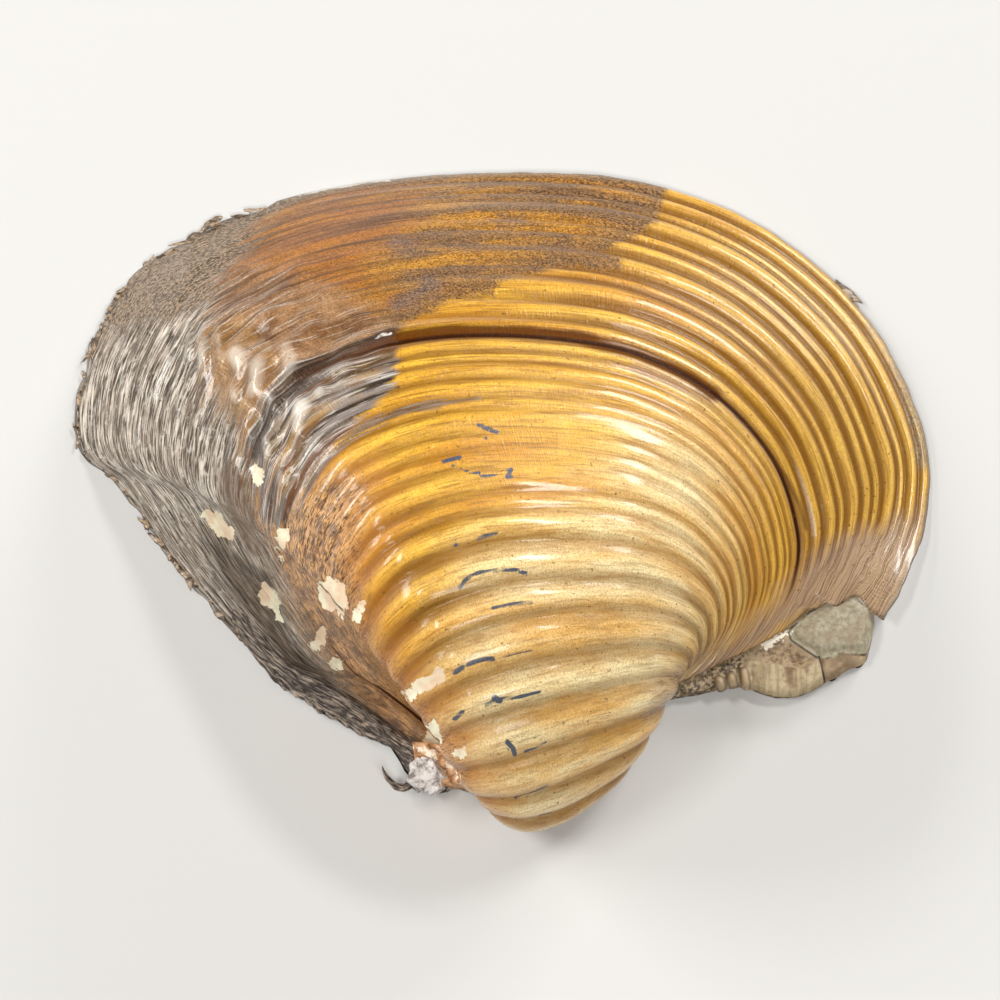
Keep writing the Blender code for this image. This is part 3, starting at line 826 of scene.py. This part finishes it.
for vertex in flakes.verts:
    vertex.co.z = max(vertex.co.z, 0.0)
    vertex[flake_grain] = FLAKE_GRAIN * vertex.co / MM
    for name, layer in flake_layers.items():
        vertex[layer] = flake_marks.get(name, -FAR_MM)
flake_mesh = as_mesh(flakes, "flakes")
whole = bmesh.new()
whole.from_mesh(valve_mesh)
for part_mesh in (plate_mesh, ledge_mesh, flake_mesh):
    whole.from_mesh(part_mesh)
    bpy.data.meshes.remove(part_mesh)
whole.to_mesh(valve_mesh)
whole.free()

valve_mesh.shade_smooth()
valve = put_in_scene("mussel_valve", valve_mesh)
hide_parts("valve")
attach(valve, "root")


# Horny skin: a thin, hard, varnish-like film, honey-coloured where it is clean. It gives a wet
# gloss on ridge crests, broken by the fine growth lines, and dries dull and fibrous behind.
# The colour mix node's two colour inputs and its colour result
MIX_COLOURS = (6, 7)
MIX_RESULT = 2


def linear(hex_colour):
    """An sRGB hex colour as linear red, green, blue and alpha."""
    parts = [int(hex_colour[start:start + 2], 16) / 255.0 for start in (1, 3, 5)]
    return tuple(c / 12.92 if c <= 0.04045 else ((c + 0.055) / 1.055) ** 2.4 for c in parts) + (1.0,)


def new_stuff(name):
    stuff = bpy.data.materials.new(name)
    stuff.use_nodes = True
    return stuff


def plug(stuff, node, name, value):
    """Links a socket to a node's input, or sets the input to a value."""
    if isinstance(value, bpy.types.NodeSocket):
        stuff.node_tree.links.new(value, node.inputs[name])
    else:
        node.inputs[name].default_value = value


def add(stuff, kind, inputs=None, **settings):
    """Adds a node with its settings, and its inputs as values or as links."""
    node = stuff.node_tree.nodes.new(kind)
    for name, value in settings.items():
        setattr(node, name, value)
    for name, value in (inputs or {}).items():
        plug(stuff, node, name, value)
    return node


def set_shader(stuff, inputs):
    for name, value in inputs.items():
        plug(stuff, stuff.node_tree.nodes["Principled BSDF"], name, value)


def work_out(stuff, operation, *values):
    """The result of one sum on values or links."""
    return add(stuff, "ShaderNodeMath", dict(enumerate(values)), operation=operation).outputs[0]


def both(stuff, one, other):
    return work_out(stuff, "MULTIPLY", one, other)


def add_up(stuff, total, *rows):
    """A total with values added to it, each times its own rise."""
    for value, rise in rows:
        total = work_out(stuff, "MULTIPLY_ADD", value, rise, total)
    return total


def marks(stuff, name):
    return add(stuff, "ShaderNodeAttribute", attribute_name=name).outputs["Fac"]


def growth_streaks(stuff, along, across, detail=3.0, seed=0.0):
    """Noise drawn out along the growth lines, with marks of this size in millimetres."""
    place = add(stuff, "ShaderNodeAttribute", attribute_name="growth_place").outputs["Vector"]
    sized = add(stuff, "ShaderNodeMapping", {
        "Vector": place, "Scale": (1.0 / along, 1.0 / across, 1.0), "Location": (seed, seed, seed)})
    return add(stuff, "ShaderNodeTexNoise", {
        "Vector": sized.outputs["Vector"], "Scale": 1.0, "Detail": detail, "Roughness": 0.6}).outputs["Fac"]


def grains(stuff, size, detail=2.0):
    """Even-grained noise with marks of this size in millimetres."""
    place = add(stuff, "ShaderNodeTexCoord").outputs["Object"]
    return add(stuff, "ShaderNodeTexNoise", {
        "Vector": place, "Scale": 1.0 / (size * MM), "Detail": detail, "Roughness": 0.6}).outputs["Fac"]


def spread(stuff, value, low, high, start=0.0, end=1.0):
    """A value, or the mark of this name, between low and high, spread to run from start to end."""
    if isinstance(value, str):
        value = marks(stuff, value)
    return add(stuff, "ShaderNodeMapRange", {
        "Value": value, "From Min": low, "From Max": high, "To Min": start, "To Max": end}).outputs["Result"]


def within(stuff, name, edge, wander=0.0, breaking=None):
    """1 inside the zone of this name, with a soft edge broken up by noise, in millimetres."""
    depth = marks(stuff, name)
    if breaking is not None:
        depth = work_out(stuff, "MULTIPLY_ADD", breaking, 2.0 * wander, depth)
    return spread(stuff, depth, wander - edge, wander + edge)


def lay_over(stuff, under, over, share, *strength):
    """One colour over another by a share, and by a strength where one is given."""
    for less in strength:
        share = both(stuff, share, less)
    mix = add(stuff, "ShaderNodeMix", {"Factor": share}, data_type="RGBA")
    for socket, colour in zip(MIX_COLOURS, (under, over)):
        plug(stuff, mix, socket, linear(colour) if isinstance(colour, str) else colour)
    return mix.outputs[MIX_RESULT]


def layered(stuff, colour, *rows):
    """A colour with others laid over it in turn: colour, share and strength."""
    for over, share, *strength in rows:
        colour = lay_over(stuff, colour, over, share, *strength)
    return colour


def streaked(stuff, colour, *rows):
    """A colour with others over it where a value or mark goes from low to high: colour, value, low,
    high and strength."""
    for over, value, low, high, *strength in rows:
        colour = lay_over(stuff, colour, over, spread(stuff, value, low, high, 0.0, *strength))
    return colour


def bumps(stuff, height, depth, strength=1.0):
    """The normal of a bumpy face, with bumps of this depth in millimetres."""
    inputs = {"Height": height, "Strength": strength, "Distance": depth * MM}
    return add(stuff, "ShaderNodeBump", inputs).outputs["Normal"]


skin = new_stuff("horny_skin")
broad = growth_streaks(skin, 30.0, 2.4, 4.0, 1.3)
narrow = growth_streaks(skin, 12.0, 0.55, 4.0, 4.1)
hair = growth_streaks(skin, 5.0, 0.17, 3.0, 7.7)
scratch = growth_streaks(skin, 0.20, 1.4, 3.0, 3.9)
grain = growth_streaks(skin, 0.24, 0.12, 3.0, 9.3)
fine_grain = growth_streaks(skin, 0.17, 0.09, 3.0, 6.6)
fibres = growth_streaks(skin, 0.9, 0.11, 4.0, 3.3)
slope_fibres = growth_streaks(skin, 1.7, 0.15, 4.0, 2.3)
blotch = grains(skin, 2.6, 4.0)
edge_grain = grains(skin, 0.8, 5.0)
specks = spread(skin, grains(skin, 0.30, 1.0), 0.70, 0.74)
speckle = spread(skin, fine_grain, 0.40, 0.58)

# Clean skin: honey in the middle, orange above, straw-coloured on the beak and in front. The furrows between
# the ridges get painted shade, and the beak's tip a greyer tan that is partly painted shade.
pale_beak = within(skin, "pale_beak", 3.0, 1.5, blotch)
plain_share = spread(skin, pale_beak, 0.0, 1.0, 1.0, 0.6)
furrow = spread(skin, "furrow", 0.15, 1.0)
colour = layered(
    skin, streaked(skin, "#D09020", ("#F0BA40", broad, 0.38, 0.60)),
    (streaked(skin, "#F0BE6E", ("#FFEAB2", broad, 0.38, 0.60)), pale_beak),
    ("#DDB150", within(skin, "pale_front", 3.0, 1.5, blotch), 0.8),
    # Painted shade, partly the beak's own greyer tone: darker tan towards the beak's tip
    ("#B8935F", spread(skin, "growth", 0.26, 0.12, 0.0, 0.7)),
    ("#9A6212", plain_share, spread(skin, narrow, 0.50, 0.66, 0.0, 0.60)),
    ("#6E430C", plain_share, spread(skin, hair, 0.52, 0.62, 0.0, 0.50)),
    # Painted shade: the furrows between the ridges are darkened
    ("#724608", furrow, spread(skin, pale_beak, 0.0, 1.0, 0.90, 0.50)),
    ("#8A5818", spread(skin, grain, 0.46, 0.62, 0.0, 0.45)),
)

# The brown veil: a thin coat of dried slime and iron, speckled, with a sharp broken edge in front
veil = within(skin, "veil", 0.25, 1.0, both(skin, work_out(skin, "ADD", edge_grain, fine_grain), 0.5))
mottled = streaked(
    skin, lay_over(skin, "#CC8C2C", "#6E420E", speckle),
    ("#51300F", narrow, 0.50, 0.62, 0.6),
    ("#E8C48A", grain, 0.56, 0.64, 0.35),
)
violet = lay_over(skin, "#8C6A4A", "#35211A", speckle)
bands = spread(skin, growth_streaks(skin, 9.0, 1.5, 6.0, 5.5), 0.42, 0.56)
bands = work_out(skin, "MAXIMUM", bands, spread(skin, "veil", 0.0, 2.5, 1.0, 0.0))
brown_shade = streaked(
    skin, "#B06A2A",
    ("#4A2812", narrow, 0.44, 0.60),
    ("#6A3C18", speckle, 0.0, 1.0, 0.6),
)
margin = both(skin, spread(skin, "from_rim", 1.6, 0.5), within(skin, "veil", 0.5, 0.5, blotch))
violet_spots = within(skin, "violet_spots", 0.4, 0.9, edge_grain)
colour = layered(
    skin, colour,
    (mottled, veil, 0.9),
    (violet, veil, both(skin, bands, 0.85)),
    (brown_shade, within(skin, "brown_shade", 1.2, 1.4, blotch), 0.65),
    (lay_over(skin, "#93826A", "#54432F", speckle), margin, 0.85),
    (lay_over(skin, "#7E6E6C", "#33292E", speckle), violet_spots, 0.6),
)

# The red-brown slope and the lumps behind the rest line, where the skin is blistered. On the lumps, pale hair
# lines are painted sheen, the lump tops get painted highlights and the hollows between them painted shade.
reddish = streaked(
    skin, "#D6A068",
    ("#3E2A1C", fibres, 0.45, 0.60),
    ("#51433C", blotch, 0.50, 0.64, 0.5),
    ("#5A4034", edge_grain, 0.46, 0.60, 0.75),
    ("#D9B296", hair, 0.60, 0.68, 0.7),
)
lumpy = streaked(
    skin, "#744C2C",
    ("#B58A60", blotch, 0.38, 0.62),
    ("#33201A", narrow, 0.50, 0.62, 0.7),
    # Painted sheen: pale streaks along the hair lines
    ("#DCCDBC", hair, 0.55, 0.63, 0.6),
    # Painted shade in the hollows between the lumps
    ("#33201A", "lumps", 0.0, -0.2, 0.4),
    ("#4A3020", speckle, 0.0, 1.0, 0.5),
    # Painted highlights on the lump tops
    ("#E4D8C8", "lumps", 0.38, 0.70, 0.6),
)

# Dried skin on the back slope: frayed into grey and brown fibres that follow the growth lines, with pale
# patches painted as sheen and painted highlights on the lump tops
dried = streaked(
    skin, "#2E2018",
    ("#F0E2D0", slope_fibres, 0.43, 0.60),
    ("#6E5644", blotch, 0.42, 0.62, 0.4),
    # Painted sheen: pale patches
    ("#F4EADC", edge_grain, 0.55, 0.66, 0.45),
    ("#3A2C22", narrow, 0.52, 0.62, 0.7),
    # Painted highlights on the lump tops
    ("#EBE0D0", "lumps", 0.15, 0.45, 0.6),
)
fine = streaked(skin, "#3D2C1C", ("#A98F74", grain, 0.44, 0.57))
dark_fibre = streaked(skin, "#221812", ("#8E7B69", slope_fibres, 0.45, 0.60))
dried = layered(
    skin, dried,
    (fine, within(skin, "upper_grey", 0.8, 1.0, blotch), 0.9),
    (dark_fibre, within(skin, "dark_slope", 0.5, 0.9, blotch)),
    ("#5A3C24", within(skin, "brown_patch", 0.6, 0.9, blotch), 0.7),
)

# Silvery skin between the lumps and the gold, split along the growth lines; its pale hair lines are painted
# highlights, as are the pale lump tops
silver = streaked(
    skin, "#33271F",
    ("#867A72", growth_streaks(skin, 12.0, 0.5, 2.0, 6.1), 0.40, 0.60),
    ("#6B4024", growth_streaks(skin, 12.0, 0.9, 2.0, 2.9), 0.50, 0.62, 0.7),
    # Painted highlights: pale streaks along the hair lines
    ("#DAD2C8", hair, 0.54, 0.62, 0.6),
    # Painted highlights on the lump tops
    ("#EFE8DC", "lumps", 0.30, 0.55, 0.7),
)
silver_share = both(
    skin, within(skin, "silver", 0.25, 1.1, narrow),
    spread(skin, growth_streaks(skin, 9.0, 1.0, 4.0, 8.4), 0.36, 0.50, 0.72, 1.0),
)
silver_streak = streaked(skin, "#3F332C", ("#86766A", hair, 0.44, 0.60))
grey_margin = lay_over(skin, "#A28E74", "#5E4C38", speckle)
greyed = streaked(skin, "#A68A74", ("#58443A", hair, 0.46, 0.60))
cream = streaked(skin, "#F0E8C9", ("#E2C5A4", blotch, 0.45, 0.6))
chip = within(skin, "chip", 0.03, 0.75, edge_grain)
rest_thick = within(skin, "rest_thick", 0.2, 0.5, narrow)
rest_depth = work_out(skin, "ABSOLUTE", marks(skin, "rest"))
rest_soft, rest_core = (
    both(skin, spread(skin, rest_depth, low, high, 0.0, strength), marks(skin, "rest_shown"))
    for low, high, strength in ((1.0, 0.1, 0.7), (0.28, 0.12, 0.95))
)
colour = layered(
    skin, colour,
    ("#B87028", spread(skin, "reddish", -4.0, 0.0, 0.0, 0.55)),
    (reddish, within(skin, "reddish", 1.3, 1.8, fibres)),
    (lumpy, within(skin, "lumpy", 0.9, 1.4, narrow), 0.92),
    (dried, within(skin, "slope", 0.7, 2.2, narrow)),
    (silver, silver_share),
    (silver_streak, within(skin, "silver_streak", 0.15, 0.6, hair), 0.85),
    ("#2A1A12", within(skin, "dark_streak", 0.2, 0.7, narrow), 0.85),
    ("#93705E", within(skin, "violet_streak", 0.3, 0.5, narrow), 0.55),
    ("#421E06", rest_thick, 0.9),
    (grey_margin, within(skin, "grey_margin", 0.3, 0.8, edge_grain), 0.75),
    (greyed, within(skin, "dull_front", 1.0, 1.2, blotch), 0.85),
    ("#6A3808", rest_soft),
    ("#2E1404", rest_core),
    ("#4A2610", within(skin, "branch", 0.10, 0.08, hair), 0.8),
    ("#5A3A14", specks, 0.7),
    ("#7C7066", spread(skin, "from_rim", 0.35, 0.1, 0.0, 0.8)),
    ("#C9C0B6", within(skin, "pearl_sliver", 0.03, 0.20, edge_grain)),
    (cream, chip),
    ("#2A4058", within(skin, "ink", 0.03, 0.05, edge_grain), 0.93),
)

dull = within(skin, "slope", 1.0, 1.0, fibres)
rougher = add_up(skin, spread(skin, grain, 0.3, 0.7, 0.18, 0.30), (dull, 0.08), (veil, 0.14), (chip, 0.35))
soiled = rest_core
for soil in (rest_thick, both(skin, furrow, 0.55), both(skin, veil, 0.45)):
    soiled = work_out(skin, "MAXIMUM", soiled, soil)
height = add_up(
    skin, both(skin, hair, 0.30),
    (narrow, 0.45), (scratch, 0.65), (grain, 0.16), (both(skin, slope_fibres, dull), 3.0),
)
set_shader(skin, {
    "Base Color": colour, "Roughness": rougher, "Normal": bumps(skin, height, 0.09), "IOR": 1.56,
    "Specular IOR Level": spread(skin, soiled, 0.0, 0.9, 0.5, 0.06), "Specular Tint": linear("#FFF0D2"),
    "Coat Weight": spread(skin, soiled, 0.0, 0.9, 0.40, 0.0), "Coat Roughness": 0.12, "Coat IOR": 1.5,
})

# Mother-of-pearl: thin layers of lime laid down by the animal, silky, with soft pink and green tints painted
# in as its iridescent sheen
MANTLE_LINE = 0.875
MANTLE_LINE_SPAN = (0.27, 0.85)
MANTLE_LINE_FADE = 0.02
nacre = new_stuff("nacre")
scarred = within(nacre, "scar", 0.12, 0.25, grains(nacre, 0.8, 3.0))
from_line = work_out(nacre, "ABSOLUTE", work_out(nacre, "SUBTRACT", marks(nacre, "growth"), MANTLE_LINE))
line_span = both(
    nacre, spread(nacre, "around", MANTLE_LINE_SPAN[0], MANTLE_LINE_SPAN[0] + MANTLE_LINE_FADE),
    spread(nacre, "around", MANTLE_LINE_SPAN[1], MANTLE_LINE_SPAN[1] - MANTLE_LINE_FADE),
)
mantle_line = both(nacre, spread(nacre, from_line, 0.012, 0.004), line_span)
pearl = streaked(
    nacre, "#E9E3DA",
    # Painted sheen: pink and green tints standing in for iridescence
    ("#DDD3DC", grains(nacre, 9.0, 2.0), 0.42, 0.60),
    ("#D8E2DC", grains(nacre, 6.0, 1.0), 0.52, 0.70, 0.7),
)
pearl = layered(nacre, pearl, ("#C4B6A8", scarred, 0.4), ("#C4B8AE", mantle_line, 0.4))
set_shader(nacre, {
    "Base Color": pearl, "Roughness": spread(nacre, scarred, 0.0, 1.0, 0.24, 0.45),
    "Normal": bumps(nacre, grains(nacre, 1.2, 3.0), 0.06, 0.6), "IOR": 1.55,
    "Coat Weight": 0.5, "Coat Roughness": 0.12,
})

# Worn hinge lime: bare shell, matt and greyish, stained brown where it was under the skin. A dark line round
# the tooth face, the crack's near-black fill and the dark feet of the knobs are painted shade; the glint is a
# painted highlight.
STRIPE_WIDTH = 0.34
STRIPE_TURN = math.radians(8.0)
STRIPES_A_METRE = 260.0
worn = new_stuff("worn_hinge_lime")
worn_grain = grains(worn, 0.35, 4.0)
worn_blotch = grains(worn, 1.6, 3.0)
stripe_place = add(worn, "ShaderNodeMapping", {
    "Vector": add(worn, "ShaderNodeTexCoord").outputs["Object"], "Rotation": (0.0, 0.0, STRIPE_TURN),
    "Scale": (1.0 / (STRIPE_WIDTH * MM), STRIPES_A_METRE, 0.0)})
stripes = add(worn, "ShaderNodeTexNoise", {
    "Vector": stripe_place.outputs["Vector"], "Scale": 1.0, "Detail": 3.0}).outputs["Fac"]
tooth_colour = streaked(
    worn, "#8A7E66",
    ("#A9A086", worn_grain, 0.38, 0.62),
    ("#8F7B62", worn_blotch, 0.48, 0.66, 0.7),
    ("#BFB498", "tooth_face", 0.30, 0.02, 0.6),
)
bed_colour = streaked(
    worn, "#97825F",
    ("#B3A07C", stripes, 0.40, 0.56),
    ("#6A4A2E", worn_blotch, 0.52, 0.68, 0.8),
    ("#7A6244", worn_grain, 0.50, 0.66, 0.5),
)
crumb_colour = streaked(
    worn, "#453425",
    ("#BCA47E", grains(worn, 0.24, 4.0), 0.40, 0.62),
    ("#33241A", worn_blotch, 0.50, 0.62, 0.7),
)
brown = streaked(worn, "#6C543A", ("#A88F6C", worn_grain, 0.38, 0.62))
# Painted light and shade on the knobs: pale middles, dark round their feet
knob_colour = streaked(worn, "#3E2C1C", ("#AE9673", "knobs", -0.05, 0.18))
tooth_border = spread(worn, work_out(worn, "ABSOLUTE", marks(worn, "tooth_face")), 0.12, 0.04)
worn_colour = layered(
    worn, streaked(worn, "#7E6648", ("#B29A76", worn_blotch, 0.38, 0.62)),
    (tooth_colour, within(worn, "tooth_face", 0.10, 0.5, worn_grain)),
    (bed_colour, within(worn, "striped_bed", 0.08, 0.1, worn_grain)),
    (brown, within(worn, "brown_face", 0.10, 0.1, worn_grain)),
    (crumb_colour, within(worn, "crumbs", 0.25, 0.5, worn_grain)),
    # Painted shade in the crevice round the tooth face
    ("#3C2C1E", tooth_border, spread(worn, worn_blotch, 0.40, 0.50, 0.2, 0.9)),
    (knob_colour, within(worn, "knobs", 0.05, 0.0, worn_grain)),
    # Painted highlight: a near-white glint
    ("#F1E7D3", within(worn, "glint", 0.05, 1.0, worn_grain)),
    # Painted shade: the crack filled near-black
    ("#1E140C", within(worn, "plate_crack", 0.03, 0.0, worn_grain)),
)
set_shader(worn, {
    "Base Color": worn_colour, "Roughness": 0.55, "Normal": bumps(worn, worn_grain, 0.06), "IOR": 1.55,
})

# Stained lime on the ledge behind the beak: orange-brown, with paler worn spots
stained = new_stuff("stained_lime")
stain_grain = grains(stained, 0.45, 5.0)
stain = streaked(
    stained, "#8A5C38",
    ("#DDAE7C", stain_grain, 0.40, 0.60),
    ("#F0E0C8", grains(stained, 1.3, 4.0), 0.56, 0.60),
)
set_shader(stained, {
    "Base Color": stain, "Roughness": 0.5, "Normal": bumps(stained, stain_grain, 0.12), "IOR": 1.55,
})
for stuff in (skin, nacre, worn, stained):
    valve_mesh.materials.append(stuff)

# The ligament's rest: a dark, elastic band of horny fibres that joined the two halves along the back
# upper edge. It is torn and dried on the rim, with lime crumbs and a curl at its end by the beak.
STRIP_EDGE = [
    (270, 674), (281, 683), (292, 692), (306, 700), (322, 710), (338, 719), (350, 727), (366, 735),
    (381, 742), (394, 747), (402, 751), (406, 757), (408, 765), (411, 778), (418, 786), (432, 789),
    (446, 788), (456, 785),
]
STRIP_AROUND = (0.145, 0.0)
STRIP_GROWTH = 0.90
STRIP_COLUMNS = 160
STRIP_ROWS = 22
STRIP_THICK = 0.3
STRIP_BOTTOM = 0.25
STRIP_DEPTH = 0.9
STRIP_OVER_RIM = 1.3
STRIP_EDGE_HEIGHT = 0.5
STRIP_LONG = 22.0
STRIP_WIDE = 4.0
CURL_ROUTE = [(382, 766), (385, 774), (390, 781), (396, 786), (403, 788), (410, 785), (417, 779)]
CURL_WIDTHS = [0.05, 0.25, 0.40, 0.50, 0.55, 0.55, 0.7]
CURL_HEIGHTS = [1.9, 1.4, 1.1, 1.0, 1.0, 1.0, 1.0]
CURL_RINGS = 40
CURL_SIDES = 14
CRUMB_SPOT = (429, 775)
CRUMB_REACH = (11, 8)
CRUMB_COUNT = 12
CRUMB_SIZES = (0.7, 1.7)
CRUMB_HEIGHTS = (0.7, 1.7)
CRUMB_TILTS = (-0.5, 0.5)
CRUMB_ROUNDING = 0.09
IN_CRUMBLED_LIME = 1

strip = bmesh.new()
bmesh.ops.create_grid(strip, x_segments=STRIP_COLUMNS, y_segments=STRIP_ROWS, size=0.5)
shares = ruled_shares(strip)
strip_around = STRIP_AROUND[0] + (STRIP_AROUND[1] - STRIP_AROUND[0]) * shares[:, 0]
on_shell = smooth_outside(np.full(len(shares), STRIP_GROWTH), strip_around)
on_rim = smooth_outside(np.ones(len(shares)), strip_around) + (0.0, 0.0, STRIP_OVER_RIM)
edge_spots = smooth_curve(STRIP_EDGE, STRIP_COLUMNS + 1)[np.rint(shares[:, 0] * STRIP_COLUMNS).astype(int)]
at_edge = places_at(edge_spots, STRIP_EDGE_HEIGHT)
way = shares[:, 1:]
strip_places = on_shell * (1.0 - way) ** 2 + 2.0 * on_rim * way * (1.0 - way) + at_edge * way ** 2
thick = STRIP_THICK * smoothstep(0.0, 0.35, way[:, 0]) * smoothstep(0.0, 0.35, shares[:, 0])
rough = 0.20 * drift(strip_places, 0.9, 2.2) + 0.12 * drift(strip_places, 0.35, 5.2)
strip_places[:, 2] += thick + rough * smoothstep(0.0, 0.15, way[:, 0])
strip_places[:, 1] -= np.abs(drift(strip_places, 0.8, 8.2)) * 0.5 * way[:, 0] ** 3
strip_places[:, 2] = np.maximum(strip_places[:, 2], STRIP_BOTTOM + 0.1)
set_places(strip, strip_places + rim_shift)
fibre_layer = strip.verts.layers.float_vector.new("growth_place")
for vertex, share in zip(strip.verts, shares):
    vertex[fibre_layer] = Vector((STRIP_LONG * share[0], STRIP_WIDE * share[1], 0.0))
close_below(strip, STRIP_BOTTOM, STRIP_DEPTH)

curl_line = smooth_curve(places_at(CURL_ROUTE, np.array(CURL_HEIGHTS)), CURL_RINGS)
width_places = np.linspace(0.0, len(CURL_WIDTHS) - 1, CURL_RINGS)
curl_widths = np.interp(width_places, range(len(CURL_WIDTHS)), CURL_WIDTHS)
curl_loops = []
for ring in range(CURL_RINGS):
    ahead = Vector(curl_line[min(ring + 1, CURL_RINGS - 1)] - curl_line[max(ring - 1, 0)])
    turn = ahead.to_track_quat("Z", "Y").to_matrix().to_4x4()
    place = Matrix.Scale(MM, 4) @ Matrix.Translation(Vector(curl_line[ring] + rim_shift)) @ turn
    radius = 0.5 * curl_widths[ring]
    made = bmesh.ops.create_circle(strip, segments=CURL_SIDES, radius=radius)
    for vertex in made["verts"]:
        vertex.co *= 1.0 + 0.25 * noise.noise(Vector((vertex.co.x * 9.0, vertex.co.y * 9.0, ring * 0.25)))
        vertex[fibre_layer] = Vector((ring * 0.15, 2.0 * vertex.co.x, 4.0))
    bmesh.ops.transform(strip, matrix=place, verts=made["verts"])
    curl_loops.append(list({edge for vertex in made["verts"] for edge in vertex.link_edges}))
for start, end in zip(curl_loops, curl_loops[1:]):
    bmesh.ops.bridge_loops(strip, edges=start + end)
for loop in (curl_loops[0], curl_loops[-1]):
    bmesh.ops.holes_fill(strip, edges=loop, sides=CURL_SIDES)

crumbs = random.Random(7)
for _ in range(CRUMB_COUNT):
    made = bmesh.ops.create_cube(strip, size=1.0)
    spot = (
        CRUMB_SPOT[0] + CRUMB_REACH[0] * crumbs.uniform(-1.0, 1.0),
        CRUMB_SPOT[1] + CRUMB_REACH[1] * crumbs.uniform(-1.0, 1.0),
    )
    size = Vector([crumbs.uniform(*CRUMB_SIZES) for _ in range(3)])
    turn = Matrix.Rotation(crumbs.uniform(0.0, math.pi), 4, "Z")
    turn = turn @ Matrix.Rotation(crumbs.uniform(*CRUMB_TILTS), 4, "X")
    place = Matrix.Translation(Vector(places_at(spot, crumbs.uniform(*CRUMB_HEIGHTS)) + rim_shift))
    bmesh.ops.transform(strip, matrix=place @ turn @ Matrix.Diagonal((*size, 1.0)), verts=made["verts"])
    edges = list({edge for vertex in made["verts"] for edge in vertex.link_edges})
    rounded = bmesh.ops.bevel(
        strip, geom=edges, offset=CRUMB_ROUNDING, segments=2, profile=0.5, material=-1, affect="EDGES",
        offset_type="OFFSET",
    )
    block_points = {vertex for face in rounded["faces"] for vertex in face.verts}
    for vertex in block_points:
        vertex.co *= MM
        vertex.co.z = max(vertex.co.z, 0.0)
    give_material({face for vertex in block_points for face in vertex.link_faces}, IN_CRUMBLED_LIME)
bmesh.ops.recalc_face_normals(strip, faces=strip.faces)
ligament_mesh = as_mesh(strip, "torn_ligament")
ligament_mesh.shade_smooth()
ligament_mesh.set_sharp_from_angle(angle=math.radians(40.0))
ligament = put_in_scene("torn_ligament", ligament_mesh)
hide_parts("ligament")
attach(ligament, "root")

# Dried ligament: dark horny fibres, split and greyed along their length
dried_fibre = new_stuff("dried_ligament")
fibre_grain = growth_streaks(dried_fibre, 0.9, 0.16, 4.0, 3.3)
fibre_colour = streaked(
    dried_fibre, "#2A1F19",
    ("#A89785", fibre_grain, 0.44, 0.62),
    ("#2E2622", growth_streaks(dried_fibre, 5.0, 0.8), 0.50, 0.62, 0.8),
)
set_shader(dried_fibre, {
    "Base Color": fibre_colour, "Roughness": 0.6, "Normal": bumps(dried_fibre, fibre_grain, 0.15), "IOR": 1.5,
})

# Crumbled lime of the nub: chalky and grey
crumbled = new_stuff("crumbled_lime")
crumb_grain = grains(crumbled, 0.7, 6.0)
crumb_tint = streaked(crumbled, "#7C736C", ("#DAD4CE", crumb_grain, 0.40, 0.56))
set_shader(crumbled, {
    "Base Color": crumb_tint, "Roughness": 0.7, "Normal": bumps(crumbled, crumb_grain, 0.1), "IOR": 1.55,
})
for stuff in (dried_fibre, crumbled):
    ligament_mesh.materials.append(stuff)

# The floor, plain and pale
bpy.ops.mesh.primitive_plane_add(size=4.0)
floor = bpy.context.object
floor.name = "floor"
pale_floor = new_stuff("pale_floor")
set_shader(pale_floor, {"Base Color": linear("#C9C7C3"), "Roughness": 0.8, "Specular IOR Level": 0.2})
floor.data.materials.append(pale_floor)

# Studio light: soft lamps at the right, behind, at the left, above it and in front.
# Each has its direction, distance in metres, two sizes and watts.
LAMPS = {
    "right_lamp": ((0.45, 0.38, 0.74), 0.6, (0.16, 0.06), 1.2),
    "back_lamp": ((0.56, 0.72, 0.34), 0.6, (0.26, 0.10), 2.2),
    "left_lamp": ((-0.80, 0.30, 0.46), 0.6, (0.34, 0.10), 2.5),
    "upper_left_lamp": ((-0.56, -0.08, 0.80), 0.6, (0.20, 0.06), 1.1),
    "front_lamp": ((0.12, -0.56, 0.80), 0.8, (0.34, 0.20), 3.3),
}
WORLD_STRENGTH = 0.14
target = Vector(rim_shift) * MM
for name, (direction, distance, size, watts) in LAMPS.items():
    lamp = put_in_scene(name, bpy.data.lights.new(name, "AREA"))
    lamp.data.shape = "RECTANGLE"
    lamp.data.size, lamp.data.size_y = size
    lamp.data.energy = watts
    away = Vector(direction).normalized()
    lamp.location = target + away * distance
    lamp.rotation_mode = "QUATERNION"
    lamp.rotation_quaternion = away.to_track_quat("Z", "Y")
world = bpy.data.worlds.new("studio")
world.use_nodes = True
world.node_tree.nodes["Background"].inputs["Color"].default_value = linear("#F2F2F0")
world.node_tree.nodes["Background"].inputs["Strength"].default_value = WORLD_STRENGTH
bpy.context.scene.world = world
bpy.context.scene.view_settings.view_transform = "Standard"

camera = put_in_scene("camera", bpy.data.cameras.new("camera"))
camera.data.sensor_width = SENSOR_MM
camera.data.lens = FOCAL_PIXELS / PIXELS * SENSOR_MM
camera.location = target + Vector(TOWARDS_CAMERA) * DISTANCE * MM
camera.rotation_mode = "QUATERNION"
camera.rotation_quaternion = Vector(TOWARDS_CAMERA).to_track_quat("Z", "Y")
camera.data.clip_start = 0.01
bpy.context.scene.camera = camera
